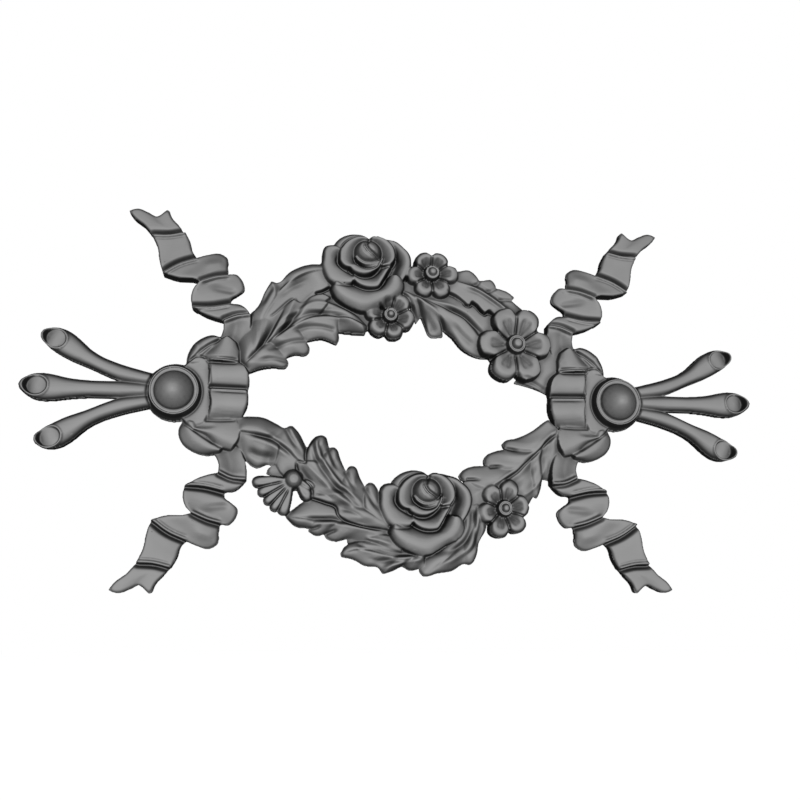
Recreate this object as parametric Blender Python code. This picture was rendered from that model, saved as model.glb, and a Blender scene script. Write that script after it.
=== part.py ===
"""Carved diamond frame: roses, flowers, leaves and folded ribbons around an open middle.

The frame is one carved relief with a flat back. It is drawn on its front plane, x to
the right and z up from the middle of the frame, with heights above the flat back. One
unit of the drawing is UNIT metres. Each form is a small grid of (x, z, height) points
that becomes a closed block down to the back, and all the blocks are united into one.
"""
import math

import bmesh
import bpy
import numpy as np

LENGTH = 0.588                  # from pipe mouth to pipe mouth
DEPTH = 0.027                   # from the flat back to the tops of the bosses
DRAWN_LENGTH = 588.0            # the same two sizes in units of the drawing
DRAWN_DEPTH = 27.0
UNIT = LENGTH / DRAWN_LENGTH
UNIT_DEEP = DEPTH / DRAWN_DEPTH
MOUNT_Z = 120.0                 # drawn height of the hanging point, behind the upper rose

BELOW_BACK = 3.0                # how far the blocks reach behind the back before it is cut
STAGGER = 0.05                  # each block reaches further back by this, so no two bases meet
CORNER = math.radians(66)       # a path that turns harder than this stays sharp there
SAME = 4                        # decimals of a unit at which two points are one point
NARROWED = 0.8                  # width of a row that is hidden under the next form
FINER = 1.5                     # how many more rows and columns each form gets than its drawing needs
BEND = 0.3                      # rows spent on each radian of bend, where a form's length takes one
SWELL = 2.0                     # how far the leaves' veins stand out, as a factor on their drawn swell
TRIANGLES = 9600                # the most triangles that the frame keeps
AT_BACK = 0.00005               # metres from the back within which a corner lies on it

BOSS_CENTRE = (178.5, 2.5)
BOSS_RADIUS = 22.8
DOME_FALL = 0.048               # how fast the boss's dome falls, over the square of the radius
PIPE_AXIS_Z = 3.3               # the pipes mirror about this height
MOUTHS = ((-269.8, 41.7, 25), (-281.9, 4.4, 0), (-269.8, -35.1, -25))   # x, z and tilt
MOUTH_RADIUS = 6.8
MOUTH_FLOOR = 10.5              # height of the mouths' floors, and how fast they fall outwards
MOUTH_FALL = 0.024
UPPER_ROSE = (-29.0, 122.3)     # where the middle of each rose's bud is
LOWER_ROSE = (19.1, -72.0)

DAISY = (-85.0, -64.8)
DAISY_PETALS = ((184, 32, 9), (202, 29.5, 8), (220, 28.8, 7.5), (236, 29, 7.5), (252, 28.5, 9.5),
                (312, 20, 10), (342, 17, 8))
# each open flower's centre, petals (degrees, reach and width), height, and collar's and ball's radius
FLOWERS = (
    ((24.6, 107.2), ((-4, 21.5, 15), (60, 18, 16), (124, 18.5, 16), (191, 21.5, 14.5),
                     (243, 22, 15), (-63, 22.5, 15)), 14, 6.2, 3.7),
    ((-9.5, 70.6), ((104, 17, 12), (50, 20, 16), (-16, 20, 18), (-78, 20.5, 14.5), (226, 21.5, 15.5),
                    (176, 20.5, 12)), 12, 6.0, 3.0),
    ((94.5, 49.1), ((0, 28.5, 22), (65, 31, 21), (115, 31, 21), (180, 31.5, 22),
                    (242, 32.5, 22), (-65, 31.5, 22)), 14.5, 7.5, 4.6),
    ((82.5, -85.2), ((8, 19.5, 18), (77, 23, 15), (134, 22, 15), (194, 22, 15.5),
                     (253, 24, 15.5), (-53, 22.5, 15.5)), 13.5, 6.2, 3.2))


def filled(points):
    """Give a height to each point that has none, in a straight line between its neighbours."""
    known = [i for i, point in enumerate(points) if len(point) > 2]
    heights = np.interp(range(len(points)), known, [points[i][2] for i in known])
    return np.array([(point[0], point[1], height) for point, height in zip(points, heights)])


def smooth(points):
    """Return a smooth curve through points, sharp at hard turns, and the distance to each.

    The curve is a function of a place: 2.5 is halfway from points[2] to points[3].
    """
    points = np.asarray(points, float)
    gaps = np.maximum(np.linalg.norm(np.diff(points[:, :2], axis=0), axis=1), 1e-6)
    slopes = np.diff(points, axis=0) / gaps[:, None]
    arriving = np.vstack([slopes[:1], slopes])
    leaving = np.vstack([slopes, slopes[-1:]])
    for i in range(1, len(points) - 1):
        before, after = slopes[i - 1], slopes[i]
        level = np.linalg.norm(before[:2]) * np.linalg.norm(after[:2])
        if level > 0 and before[:2] @ after[:2] > math.cos(CORNER) * level:
            shared = (before * gaps[i] + after * gaps[i - 1]) / (gaps[i] + gaps[i - 1])
            arriving[i] = leaving[i] = shared

    def at(place):
        i = min(int(place), len(gaps) - 1)
        f = place - i
        return ((1 + 2 * f) * (1 - f) ** 2 * points[i] + f * (1 - f) ** 2 * gaps[i] * leaving[i]
                + f * f * (3 - 2 * f) * points[i + 1] - f * f * (1 - f) * gaps[i] * arriving[i + 1])

    return at, np.concatenate([[0.0], np.cumsum(gaps)])


def sampled(points, shares):
    """Read a smooth curve at shares of its length, moving the nearest share to each corner."""
    points = filled(points)
    at, distance = smooth(points)
    places = np.interp(np.asarray(shares) * distance[-1], distance, range(len(points)))
    steps = np.diff(points[:, :2], axis=0)
    turns = np.abs(np.angle((steps[1:, 0] + 1j * steps[1:, 1])
                            * (steps[:-1, 0] - 1j * steps[:-1, 1])))
    for i in np.nonzero(turns > CORNER)[0] + 1:
        nearest = 1 + int(np.argmin(np.abs(places[1:-1] - i)))
        places[nearest] = i
    return np.array([at(place) for place in np.sort(places)])


def spread(paths, count):
    """Choose shares along some paths, closer together where the paths bend."""
    fine = np.linspace(0, 1, 24 * count + 1)
    spent = np.zeros(len(fine))
    for points in paths:
        points = filled(points)
        at, distance = smooth(points)
        places = np.interp(fine * distance[-1], distance, range(len(points)))
        steps = np.diff([at(place)[:2] for place in places], axis=0)
        lengths = np.linalg.norm(steps, axis=1)
        headings = np.unwrap(np.arctan2(steps[:, 1], steps[:, 0]))
        turns = np.abs(np.diff(headings, prepend=headings[0]))
        spent[1:] += np.cumsum(lengths / lengths.sum() + BEND * turns)
    return np.interp(np.linspace(0, spent[-1], count + 1), spent, fine)


def bump(shares, crest, fullness):
    """Rise from 0 at one side to 1 at the crest and back to 0 at the other side."""
    skew = math.log(0.5) / math.log(crest)
    return np.sin(math.pi * shares ** skew).clip(0, 1) ** fullness


def sheet(side_a, side_b, start=None, end=None, rows=5, columns=4, crown=0.0, crest=0.5,
          fullness=1.0, tuck=0.0, tuck_share=0.2, under=0.0):
    """Span four edges with a smooth sheet, crowned across and tucked down at its end.

    An end that lies under the next form gets one more row, `under` units past the end.
    """
    rows, columns = math.ceil(rows * FINER), math.ceil(columns * FINER)
    along = spread([side_a, side_b], rows)
    if tuck:
        along = np.sort(np.append(along, 1 - tuck_share))
    if fullness < 1:
        across = (1 - np.cos(np.linspace(0, math.pi, columns + 1))) / 2
    elif start or end:
        across = spread([edge for edge in (start, end) if edge], columns)
    else:
        across = np.linspace(0, 1, columns + 1)
    a, b = sampled(side_a, along), sampled(side_b, along)
    first = sampled(start, across) if start else a[0] + across[:, None] * (b[0] - a[0])
    last = sampled(end, across) if end else a[-1] + across[:, None] * (b[-1] - a[-1])
    u, v = along[:, None, None], across[None, :, None]
    corners = ((1 - u) * (1 - v) * a[0] + (1 - u) * v * b[0]
               + u * (1 - v) * a[-1] + u * v * b[-1])
    grid = ((1 - u) * first[None] + u * last[None]
            + (1 - v) * a[:, None] + v * b[:, None] - corners)
    grid[:, :, 2] += crown * bump(across, crest, fullness)[None]
    sunk = ((along - 1 + tuck_share) / tuck_share).clip(0, 1) ** 2
    grid[:, :, 2] -= tuck * sunk[:, None]
    if under:
        grid = np.concatenate([grid, hidden_row(grid, under)])
    return grid


def hidden_row(grid, under):
    """Move a grid's last row on by some units, and narrow it so that it stays hidden."""
    last = grid[-1]
    ahead = np.array([last[0, 1] - last[-1, 1], last[-1, 0] - last[0, 0], 0.0])
    ahead *= under / np.linalg.norm(ahead)
    if (last - grid[-2]).mean(axis=0) @ ahead < 0:
        ahead = -ahead
    middle = last.mean(axis=0)
    return (middle + (last - middle) * NARROWED + ahead)[None]


def turned(centre, profile, sides, stretch=1.0, angle=0.0):
    """Turn (radius, height) pairs about a centre, with the circle stretched along an angle."""
    around = np.linspace(0, 2 * math.pi, sides + 1)
    grid = []
    for radius, height in profile:
        x, z = stretch * radius * np.cos(around), radius * np.sin(around)
        grid.append(np.stack([centre[0] + x * math.cos(angle) - z * math.sin(angle),
                              centre[1] + x * math.sin(angle) + z * math.cos(angle),
                              np.full(sides + 1, float(height))], axis=1))
    return np.array(grid)


def placed(points, centre, angle=0.0):
    """Turn local points by an angle and move them to a centre."""
    c, s = math.cos(angle), math.sin(angle)
    return [(centre[0] + p[0] * c - p[1] * s, centre[1] + p[0] * s + p[1] * c, *p[2:])
            for p in points]


def leaf(spine, left, right, columns=4, sweep=0.25, lag=1.6):
    """Make a leaf whose veins leave its spine and bend out to the points of both edges.

    The spine is (x, z, height) points. An edge is (share of the spine, x, z, height,
    swell) points: the vein to that point swells up or, below 0, sinks into a flute.
    The veins leave the spine early, more so with a larger lag, so teeth point forward.
    """
    spine = filled(spine)
    spine_at, spine_distance = smooth(spine)
    shares = sorted({point[0] for point in left + right})
    grid = []
    edges = []
    for side in (left, right):
        at, _ = smooth([point[1:] for point in side])
        edges.append((at, [point[0] for point in side]))
    for share in shares:
        place = np.interp(share ** lag * spine_distance[-1], spine_distance, range(len(spine)))
        root = spine_at(place)
        ahead = spine_at(min(place + 0.05, len(spine) - 1)) - spine_at(max(place - 0.05, 0))
        ahead = ahead[:2] / np.linalg.norm(ahead[:2])
        halves = []
        for at, own_shares in edges:
            edge = at(np.interp(share, own_shares, range(len(own_shares))))
            reach = np.linalg.norm(edge[:2] - root[:2])
            bend = root[:2] + ahead * sweep * reach
            half = []
            for f in np.linspace(0, 1, columns + 1):
                spot = (1 - f) ** 2 * root[:2] + 2 * f * (1 - f) * bend + f * f * edge[:2]
                height = root[2] + f * f * (edge[2] - root[2]) + SWELL * edge[3] * math.sin(math.pi * f)
                half.append((*spot, height))
            halves.append(half)
        grid.append(halves[0][:0:-1] + halves[1])
    return np.array(grid)


def mirrored(grids, x=1, z=1):
    """Copy grids with their x, their z or both turned about the middle of the frame."""
    return [grid * (x, z, 1) for grid in grids]


def ribbon():
    """Fold the upper left ribbon: six bands from its forked end down to the knot."""
    forked_end = sheet(
        [(-220, 149, 9), (-216, 143.5), (-208, 137.5), (-200.5, 129, 11)],
        [(-189, 150.5, 7.7), (-187, 145), (-181, 138), (-176.5, 132.5, 9.3)],
        start=[(-220, 149, 9), (-214, 151), (-205, 148), (-198.5, 145, 8.3),
               (-194, 148.5), (-191, 151.4), (-189, 150.5, 7.7)],
        rows=3, columns=6, tuck=2.5, tuck_share=0.3, under=3)
    steep = sheet(
        [(-200.8, 129.2, 11.5), (-196, 118), (-194.3, 108), (-191, 97, 13.4)],
        [(-176, 132.8, 10), (-171.5, 124.5), (-169, 116), (-165, 112, 7.5)],
        start=[(-200.8, 129.2, 11.5), (-189, 129.7), (-176, 132.8, 10)],
        end=[(-191, 97, 13.4), (-179, 106), (-165, 112, 7.5)],
        rows=4, columns=3, tuck=2.5, tuck_share=0.22, under=3)
    first_loop = sheet(
        [(-191.4, 97.2, 14), (-180, 93.8), (-168, 93.4), (-161, 91.5, 14)],
        [(-165.2, 112.4, 8), (-156, 116.2), (-148.5, 118, 3.5), (-142, 114, 4),
         (-141.3, 105, 6), (-140.5, 99, 7.7)],
        start=[(-191.4, 97.2, 14), (-179, 106.2), (-165.2, 112.4, 8)],
        end=[(-161, 91.5, 14), (-150, 96.3), (-140.5, 99, 7.7)],
        rows=5, columns=3, tuck=2.5, under=3)
    second_loop = sheet(
        [(-161.2, 91.8, 14.5), (-167, 84.8), (-168.5, 78), (-167.5, 70.5, 11.6)],
        [(-140.2, 99.3, 8.5), (-134, 99.8), (-129.3, 95, 5), (-127.6, 88.5, 5), (-133, 83, 7),
         (-138, 79), (-138.2, 74.5, 8)],
        start=[(-161.2, 91.8, 14.5), (-150, 96.6), (-140.2, 99.3, 8.5)],
        end=[(-167.5, 70.5, 11.6), (-153, 71.3), (-138.2, 74.5, 8)],
        rows=6, columns=3, tuck=2.5, under=3)
    short_turn = sheet(
        [(-167.8, 70.8, 12.2), (-156, 64.3), (-142.5, 60.3, 12.5)],
        [(-138, 74.9, 9), (-130, 73.8), (-125.3, 70.3), (-121.8, 65.8, 13.3)],
        start=[(-167.8, 70.8, 12.2), (-153, 71.6), (-138, 74.9, 9)],
        end=[(-142.5, 60.3, 12.5), (-133, 64.6), (-121.8, 65.8, 13.3)],
        rows=3, columns=3, tuck=2.2, tuck_share=0.3, under=3)
    last_band = sheet(
        [(-142.7, 60.6, 13), (-142.8, 53), (-147, 44, 4.5)],
        [(-121.5, 66.1, 13.8), (-121.6, 58), (-124.5, 46.5), (-131, 36, 4.5)],
        start=[(-142.7, 60.6, 13), (-133, 64.9), (-121.5, 66.1, 13.8)],
        rows=3, columns=3, crown=-1.0)
    return [forked_end, steep, first_loop, second_loop, short_turn, last_band]


def knot():
    """Lay the left knot: two rolls between folded bands, on a plate behind the boss."""
    plate = sheet([(-157, 30.5, 10), (-153, 25), (-151.5, 8), (-151, -6), (-153, -18), (-163, -26, 9)],
                  [(-165, 30.5, 8), (-182, 10), (-182, -10), (-170, -20), (-164, -26, 8)],
                  rows=4, columns=2)
    upper_back = sheet([(-171, 25, 5), (-169.5, 34), (-165, 42), (-158, 47.5),
                        (-151, 49.4), (-143, 46, 6)],
                       [(-163, 27, 9), (-156, 37), (-142, 46, 9)],
                       rows=4, columns=3, crown=2.5)
    upper_band = sheet([(-166, 26, 9), (-156, 37), (-142, 46.5, 9.5)],
                       [(-158, 27, 8), (-151, 38), (-142, 44, 9)],
                       rows=4, columns=3, crown=1.0)
    upper_front = sheet([(-160, 30, 8), (-151, 39), (-145, 45, 8)],
                        [(-130, 27, 10), (-130, 36), (-132.5, 43.5, 8.5)],
                        start=[(-160, 30, 8), (-151, 28, 11), (-130, 27, 10)],
                        end=[(-145, 45, 8), (-140, 47.8), (-132.5, 43.5, 8.5)],
                        rows=3, columns=4, crown=3.0, crest=0.55)
    rolls = [
        sheet([(-153.5, 27.8, 9), (-131, 27.3, 9)],
              [(-152.8, 5, 8), (-123, 4, 8)],
              start=[(-153.5, 27.8, 9), (-151.8, 17, 9), (-152.8, 5, 8)],
              end=[(-131, 27.3, 9), (-123.5, 20.5), (-121.5, 13), (-123, 4, 8)],
              rows=2, columns=5, crown=5.5, crest=0.45, fullness=0.8),
        sheet([(-152.6, 6, 9), (-122.3, 5, 9)],
              [(-153.5, -20, 6), (-128, -19, 6)],
              start=[(-152.6, 6, 9), (-150.5, -5, 8.5), (-153.5, -20, 6)],
              end=[(-122.3, 5, 9), (-122.5, -7), (-128, -19, 6)],
              rows=2, columns=5, crown=6, crest=0.45, fullness=0.8)]
    lower_front = sheet([(-164, -25.5, 7), (-153, -18, 8), (-131, -18, 9)],
                        [(-163, -27, 7), (-152, -33), (-143, -40), (-134, -42.3, 7)],
                        end=[(-131, -18, 9), (-128, -25), (-128.5, -34), (-134, -42.3, 7)],
                        rows=4, columns=3, crown=4, crest=0.6)
    lower_back = sheet([(-171, -19, 5), (-174.7, -28), (-172, -36.5), (-163, -43.5),
                        (-152, -46.4), (-143.5, -45, 5)],
                       [(-162, -22, 8), (-152, -31), (-141, -41, 8)],
                       rows=4, columns=3, crown=3, crest=0.6)
    return [plate, upper_back, upper_band, upper_front, *rolls, lower_front, lower_back]


def boss():
    """Turn the left boss: a steep rounded side, a ring, a groove and a pointed dome."""
    profile = [(r, DRAWN_DEPTH - DOME_FALL * r * r) for r in (0, 2, 4, 6, 8, 10, 12, 14, 15.2)]
    profile += [(15.8, 14.6), (16.6, 16), (17.4, 14.6), (18.2, 16.4), (18.7, 15.6), (19.8, 11.8),
                (21, 9), (BOSS_RADIUS, 5)]
    return turned((-BOSS_CENTRE[0], BOSS_CENTRE[1]), profile, 20)


def pipes():
    """Sweep the three left pipes from the boss to their round ends."""
    upper = sheet([(-197, 6.5, 7), (-222, 11, 7), (-245, 20.5, 7), (-262, 27.6, 8), (-268, 31),
                   (-273.5, 34.6), (-278, 38.6, 9)],
                  [(-197, 16.8, 7), (-222, 23.7, 7), (-236, 29.3), (-244, 34.5), (-250, 40),
                   (-256, 45), (-262, 48.6, 8), (-270, 50.2), (-276, 49, 9)],
                  end=[(-278, 38.6, 9), (-279.8, 41.3), (-280, 44), (-278.8, 46.9), (-276, 49, 9)],
                  rows=7, columns=5, crown=4.5, fullness=0.6)
    middle = sheet([(-198, -2, 7), (-222, -3), (-250, -3.5, 7), (-260, -4.6), (-270, -6, 8),
                    (-278, -6.2), (-285, -4.8), (-290.4, -1.6, 9)],
                   [(-198, 8.6, 7), (-222, 9.6), (-250, 10.1, 7), (-260, 11.2), (-270, 13.4, 8),
                    (-278, 14.3), (-285, 13.3), (-290.4, 10.4, 9)],
                   end=[(-290.4, -1.6, 9), (-292.9, 1.2), (-293.8, 4.4), (-292.9, 7.6), (-290.4, 10.4, 9)],
                   rows=6, columns=5, crown=4.5, fullness=0.6)
    lower = upper * (1, -1, 1) + (0, 2 * PIPE_AXIS_Z, 0)
    return [upper, middle, lower]


def mouths():
    """Make the hollows of the three left mouths: their floors fall towards the pipe's end."""
    hollows = []
    for x, z, tilt in MOUTHS:
        angle = math.radians(tilt)
        hollow = turned((x, z), [(MOUTH_RADIUS * share, MOUTH_FLOOR) for share in (0, 0.5, 1)], 16,
                        stretch=1.18, angle=-angle)
        outwards = (x - hollow[:, :, 0]) * math.cos(angle) + (hollow[:, :, 1] - z) * math.sin(angle)
        hollow[:, :, 2] -= MOUTH_FALL * (outwards + MOUTH_RADIUS) ** 2
        hollows.append(hollow)
    return hollows


def rose(centre):
    """Wrap a rose: outer petals, inner petals, two lips and the bud, drawn about its bud."""
    back_left = sheet(
        [(-28.1, 4.1, 8.5), (-25.5, 8.5), (-20.9, 12.6), (-14.6, 15.3), (-8.2, 15.9), (-2.7, 15),
         (2.4, 11.5, 9)],
        [(-21.3, -1, 11), (-18.3, 5.5), (-13.3, 9.5), (-7.3, 11.5), (-3.3, 11.5), (1.2, 10.5, 10)],
        rows=6, columns=2, crown=0.8)
    back_right = sheet(
        [(1.5, 10.5, 9), (5, 13.2), (12.9, 12), (19.1, 11.9), (24.4, 10.2), (29.8, 5.7),
         (34.2, 0.9), (36.1, -4.6), (35.9, -10.2), (33, -17.3), (29.2, -23.8, 12)],
        [(3, 6, 8), (14, 6), (19, 3.1), (23, -0.2), (25.6, -3.8), (25.2, -9.3), (22.6, -14.8),
         (20.6, -21.3, 7)],
        rows=9, columns=3, crown=3.0, crest=0.35)
    floor = turned((-2, -15), [(0, 6), (26, 6)], 16)
    right_floor = turned((12, -4), [(0, 6), (18, 6)], 16)
    left = sheet(
        [(-22.2, 1.5, 8), (-25.3, 4.7), (-29.3, 5.4), (-33.5, 4.4), (-35.8, 1), (-36.4, -5.4),
         (-36.8, -12.7), (-35, -19.2), (-31.9, -24.6), (-26.6, -28.8), (-17.9, -30.2),
         (-13.3, -29.3), (-10.5, -26.7, 12)],
        [(-21.1, 0, 7.5), (-22.2, -1.5), (-23.2, -5), (-23.2, -11), (-20.2, -17), (-16.2, -19.5),
         (-12.2, -20), (-9.7, -20.5, 8.5)],
        rows=9, columns=4, crown=3.5, crest=0.36)
    bottom = sheet(
        [(-28, -26.7, 7), (-29.1, -32.7, 10.5), (-26.2, -39.1, 11.5), (-19.6, -44.8), (-12.3, -48.4),
         (-3.2, -50.8), (3.1, -50), (9.4, -46.6), (16.8, -42), (24, -38.4), (28.3, -33.7),
         (30.1, -27.2), (28.8, -22.5), (25.4, -20.2, 12), (21.5, -20, 11.5)],
        [(-22.1, -24, 4), (-15.1, -27, 7), (-7.1, -28.5), (0.9, -30), (7.9, -29), (11.4, -26),
         (14.4, -22), (18.4, -19, 7)],
        rows=10, columns=5, crown=6.5, crest=0.48)
    middle = sheet(
        [(-11.5, -22.6, 10), (-10, -27.5), (-6, -30.7), (-0.5, -32.4), (4.8, -32.6),
         (8.7, -31.7), (11.7, -27.8), (16.6, -19.3), (20.1, -12.6, 12.5)],
        [(-9.7, -18, 8.5), (-6.2, -19), (-1.2, -19.5), (4.7, -19.5), (8.2, -15.5), (10.7, -11.5),
         (13.2, -9, 8.5)],
        rows=8, columns=3, crown=4.0, crest=0.28)
    inner_left = sheet(
        [(1.7, 11, 10), (-1.2, 12.9), (-6.8, 13.1), (-13.1, 10.8), (-18.7, 6.5), (-22.4, 0.7),
         (-23.2, -4.3), (-22.8, -9.8), (-20.4, -14.4), (-16, -16.4, 13), (-11, -14.9, 13)],
        [(0.6, 9.4, 9.5), (-5.4, 7.4), (-8.4, 3.9), (-10.5, -2.1), (-10, -8.2),
         (-8.5, -10.7, 10.5)],
        rows=8, columns=4, crown=3.0, crest=0.28)
    inner_right = sheet(
        [(1.2, 11, 10), (4.2, 13.5), (8.7, 13.9), (14, 12), (19.3, 7.5), (22.8, 1.2),
         (22.8, -5.8), (19.6, -10.6), (12.5, -12.2, 13)],
        [(1.5, 9.4, 10), (6, 7.9), (10.5, 3.4), (12.5, -1.1), (12.5, -5.6), (10.5, -9.6, 9.5)],
        rows=7, columns=4, crown=3.0, crest=0.26)
    wide_lip = sheet(
        [(-15.3, -15.4, 13), (-13, -18), (-8.2, -20.6), (-1.8, -21.3), (4.5, -19), (9, -14.9),
         (12.5, -7.9, 13)],
        [(-10.6, -11.2, 12), (-8.2, -11.7), (-2.7, -13.8), (3.3, -13.8), (8.3, -10.8),
         (11.7, -6.8, 12.5)],
        rows=6, columns=3, crown=2.5, crest=0.38)
    thin_lip = sheet(
        [(-10.7, -5.4, 13.5), (-8.7, -10.4), (-4, -13.7), (0.5, -14.6), (5.5, -13.6),
         (9.5, -10.7), (12.8, -5.9, 14.5)],
        [(-9.9, -5.3, 13.5), (-6.9, -8.4), (-1.9, -10.9), (4.1, -10.9), (9.1, -8.4),
         (12.1, -5.9, 14)],
        rows=6, columns=2, crown=1.5, crest=0.4)
    bud = turned((0.3, -0.3), [(0, 20.5), (4, 19.2), (7, 16.6), (9.2, 13.2), (10.6, 10), (11.2, 7.5)],
                 16, stretch=1.08)
    petals = [floor, right_floor, back_left, back_right, left, bottom, middle, inner_left, inner_right,
              wide_lip, thin_lip, bud]
    return [petal + (centre[0], centre[1], 0) for petal in petals]


def petal(centre, degrees, reach, width, tip_height):
    """Make one spoon-shaped petal that rises from its flower's collar to a round end."""
    half = width / 2
    tip = 0.75 * half
    side = [(2, -0.8, tip_height - 7), (0.3 * reach, -0.25 * width, tip_height - 5),
            (0.5 * reach, -0.44 * width, tip_height - 1.5), (reach - tip, -half, tip_height - 1.5)]
    other = [(x, -z, *rest) for x, z, *rest in side]
    end = [(reach - tip + tip * math.cos(turn), half * math.sin(turn), tip_height - 1.5)
           for turn in np.radians([-90, -50, 0, 50, 90])]
    angle = math.radians(degrees)
    return sheet(placed(side, centre, angle), placed(other, centre, angle),
                 end=placed(end, centre, angle), rows=4, columns=6, crown=2.5, fullness=0.7,
                 tuck=2.5, tuck_share=0.25)


def flower(centre, petals, tip_height, collar, ball):
    """Set petals, (degrees, reach, width) each, around a collar with a ball in it."""
    grids = [petal(centre, *shape, tip_height) for shape in petals]
    web = 0.72 * max(reach for _, reach, _ in petals)
    grids.append(turned(centre, [(0, tip_height - 8), (web, tip_height - 8)], 12))
    top = tip_height + 1
    grids.append(turned(centre, [(0, top - 2), (collar - 1.8, top - 2), (collar - 1.2, top),
                                 (collar - 0.4, top - 0.5), (collar, top - 3)], 12))
    grids.append(turned(centre, [(0, top + ball * 0.6), (ball * 0.6, top + ball * 0.4),
                                 (ball, top - 0.5)], 10))
    return grids


def flowers():
    """Set the four open flowers of the garlands."""
    return [grid for described in FLOWERS for grid in flower(*described)]


def daisy():
    """Fan the daisy's long petals from its ball."""
    grids = []
    for degrees, reach, width in DAISY_PETALS:
        half = width / 2
        side = [(3, -1, 10), (0.6 * reach, -0.85 * half), (reach - half, -half, 8.5)]
        other = [(x, -z, *rest) for x, z, *rest in side]
        end = [(reach - half + half * math.cos(turn), half * math.sin(turn), 8.5)
               for turn in np.radians([-90, -45, 0, 45, 90])]
        angle = math.radians(degrees)
        grids.append(sheet(placed(side, DAISY, angle), placed(other, DAISY, angle),
                           end=placed(end, DAISY, angle), rows=3, columns=4, crown=3.0,
                           fullness=0.8, tuck=2.0, tuck_share=0.3))
    grids.append(turned(DAISY, [(0, 18), (3, 17.1), (5.5, 14.6), (7.2, 11), (8, 6.5)], 12))
    return grids


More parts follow.
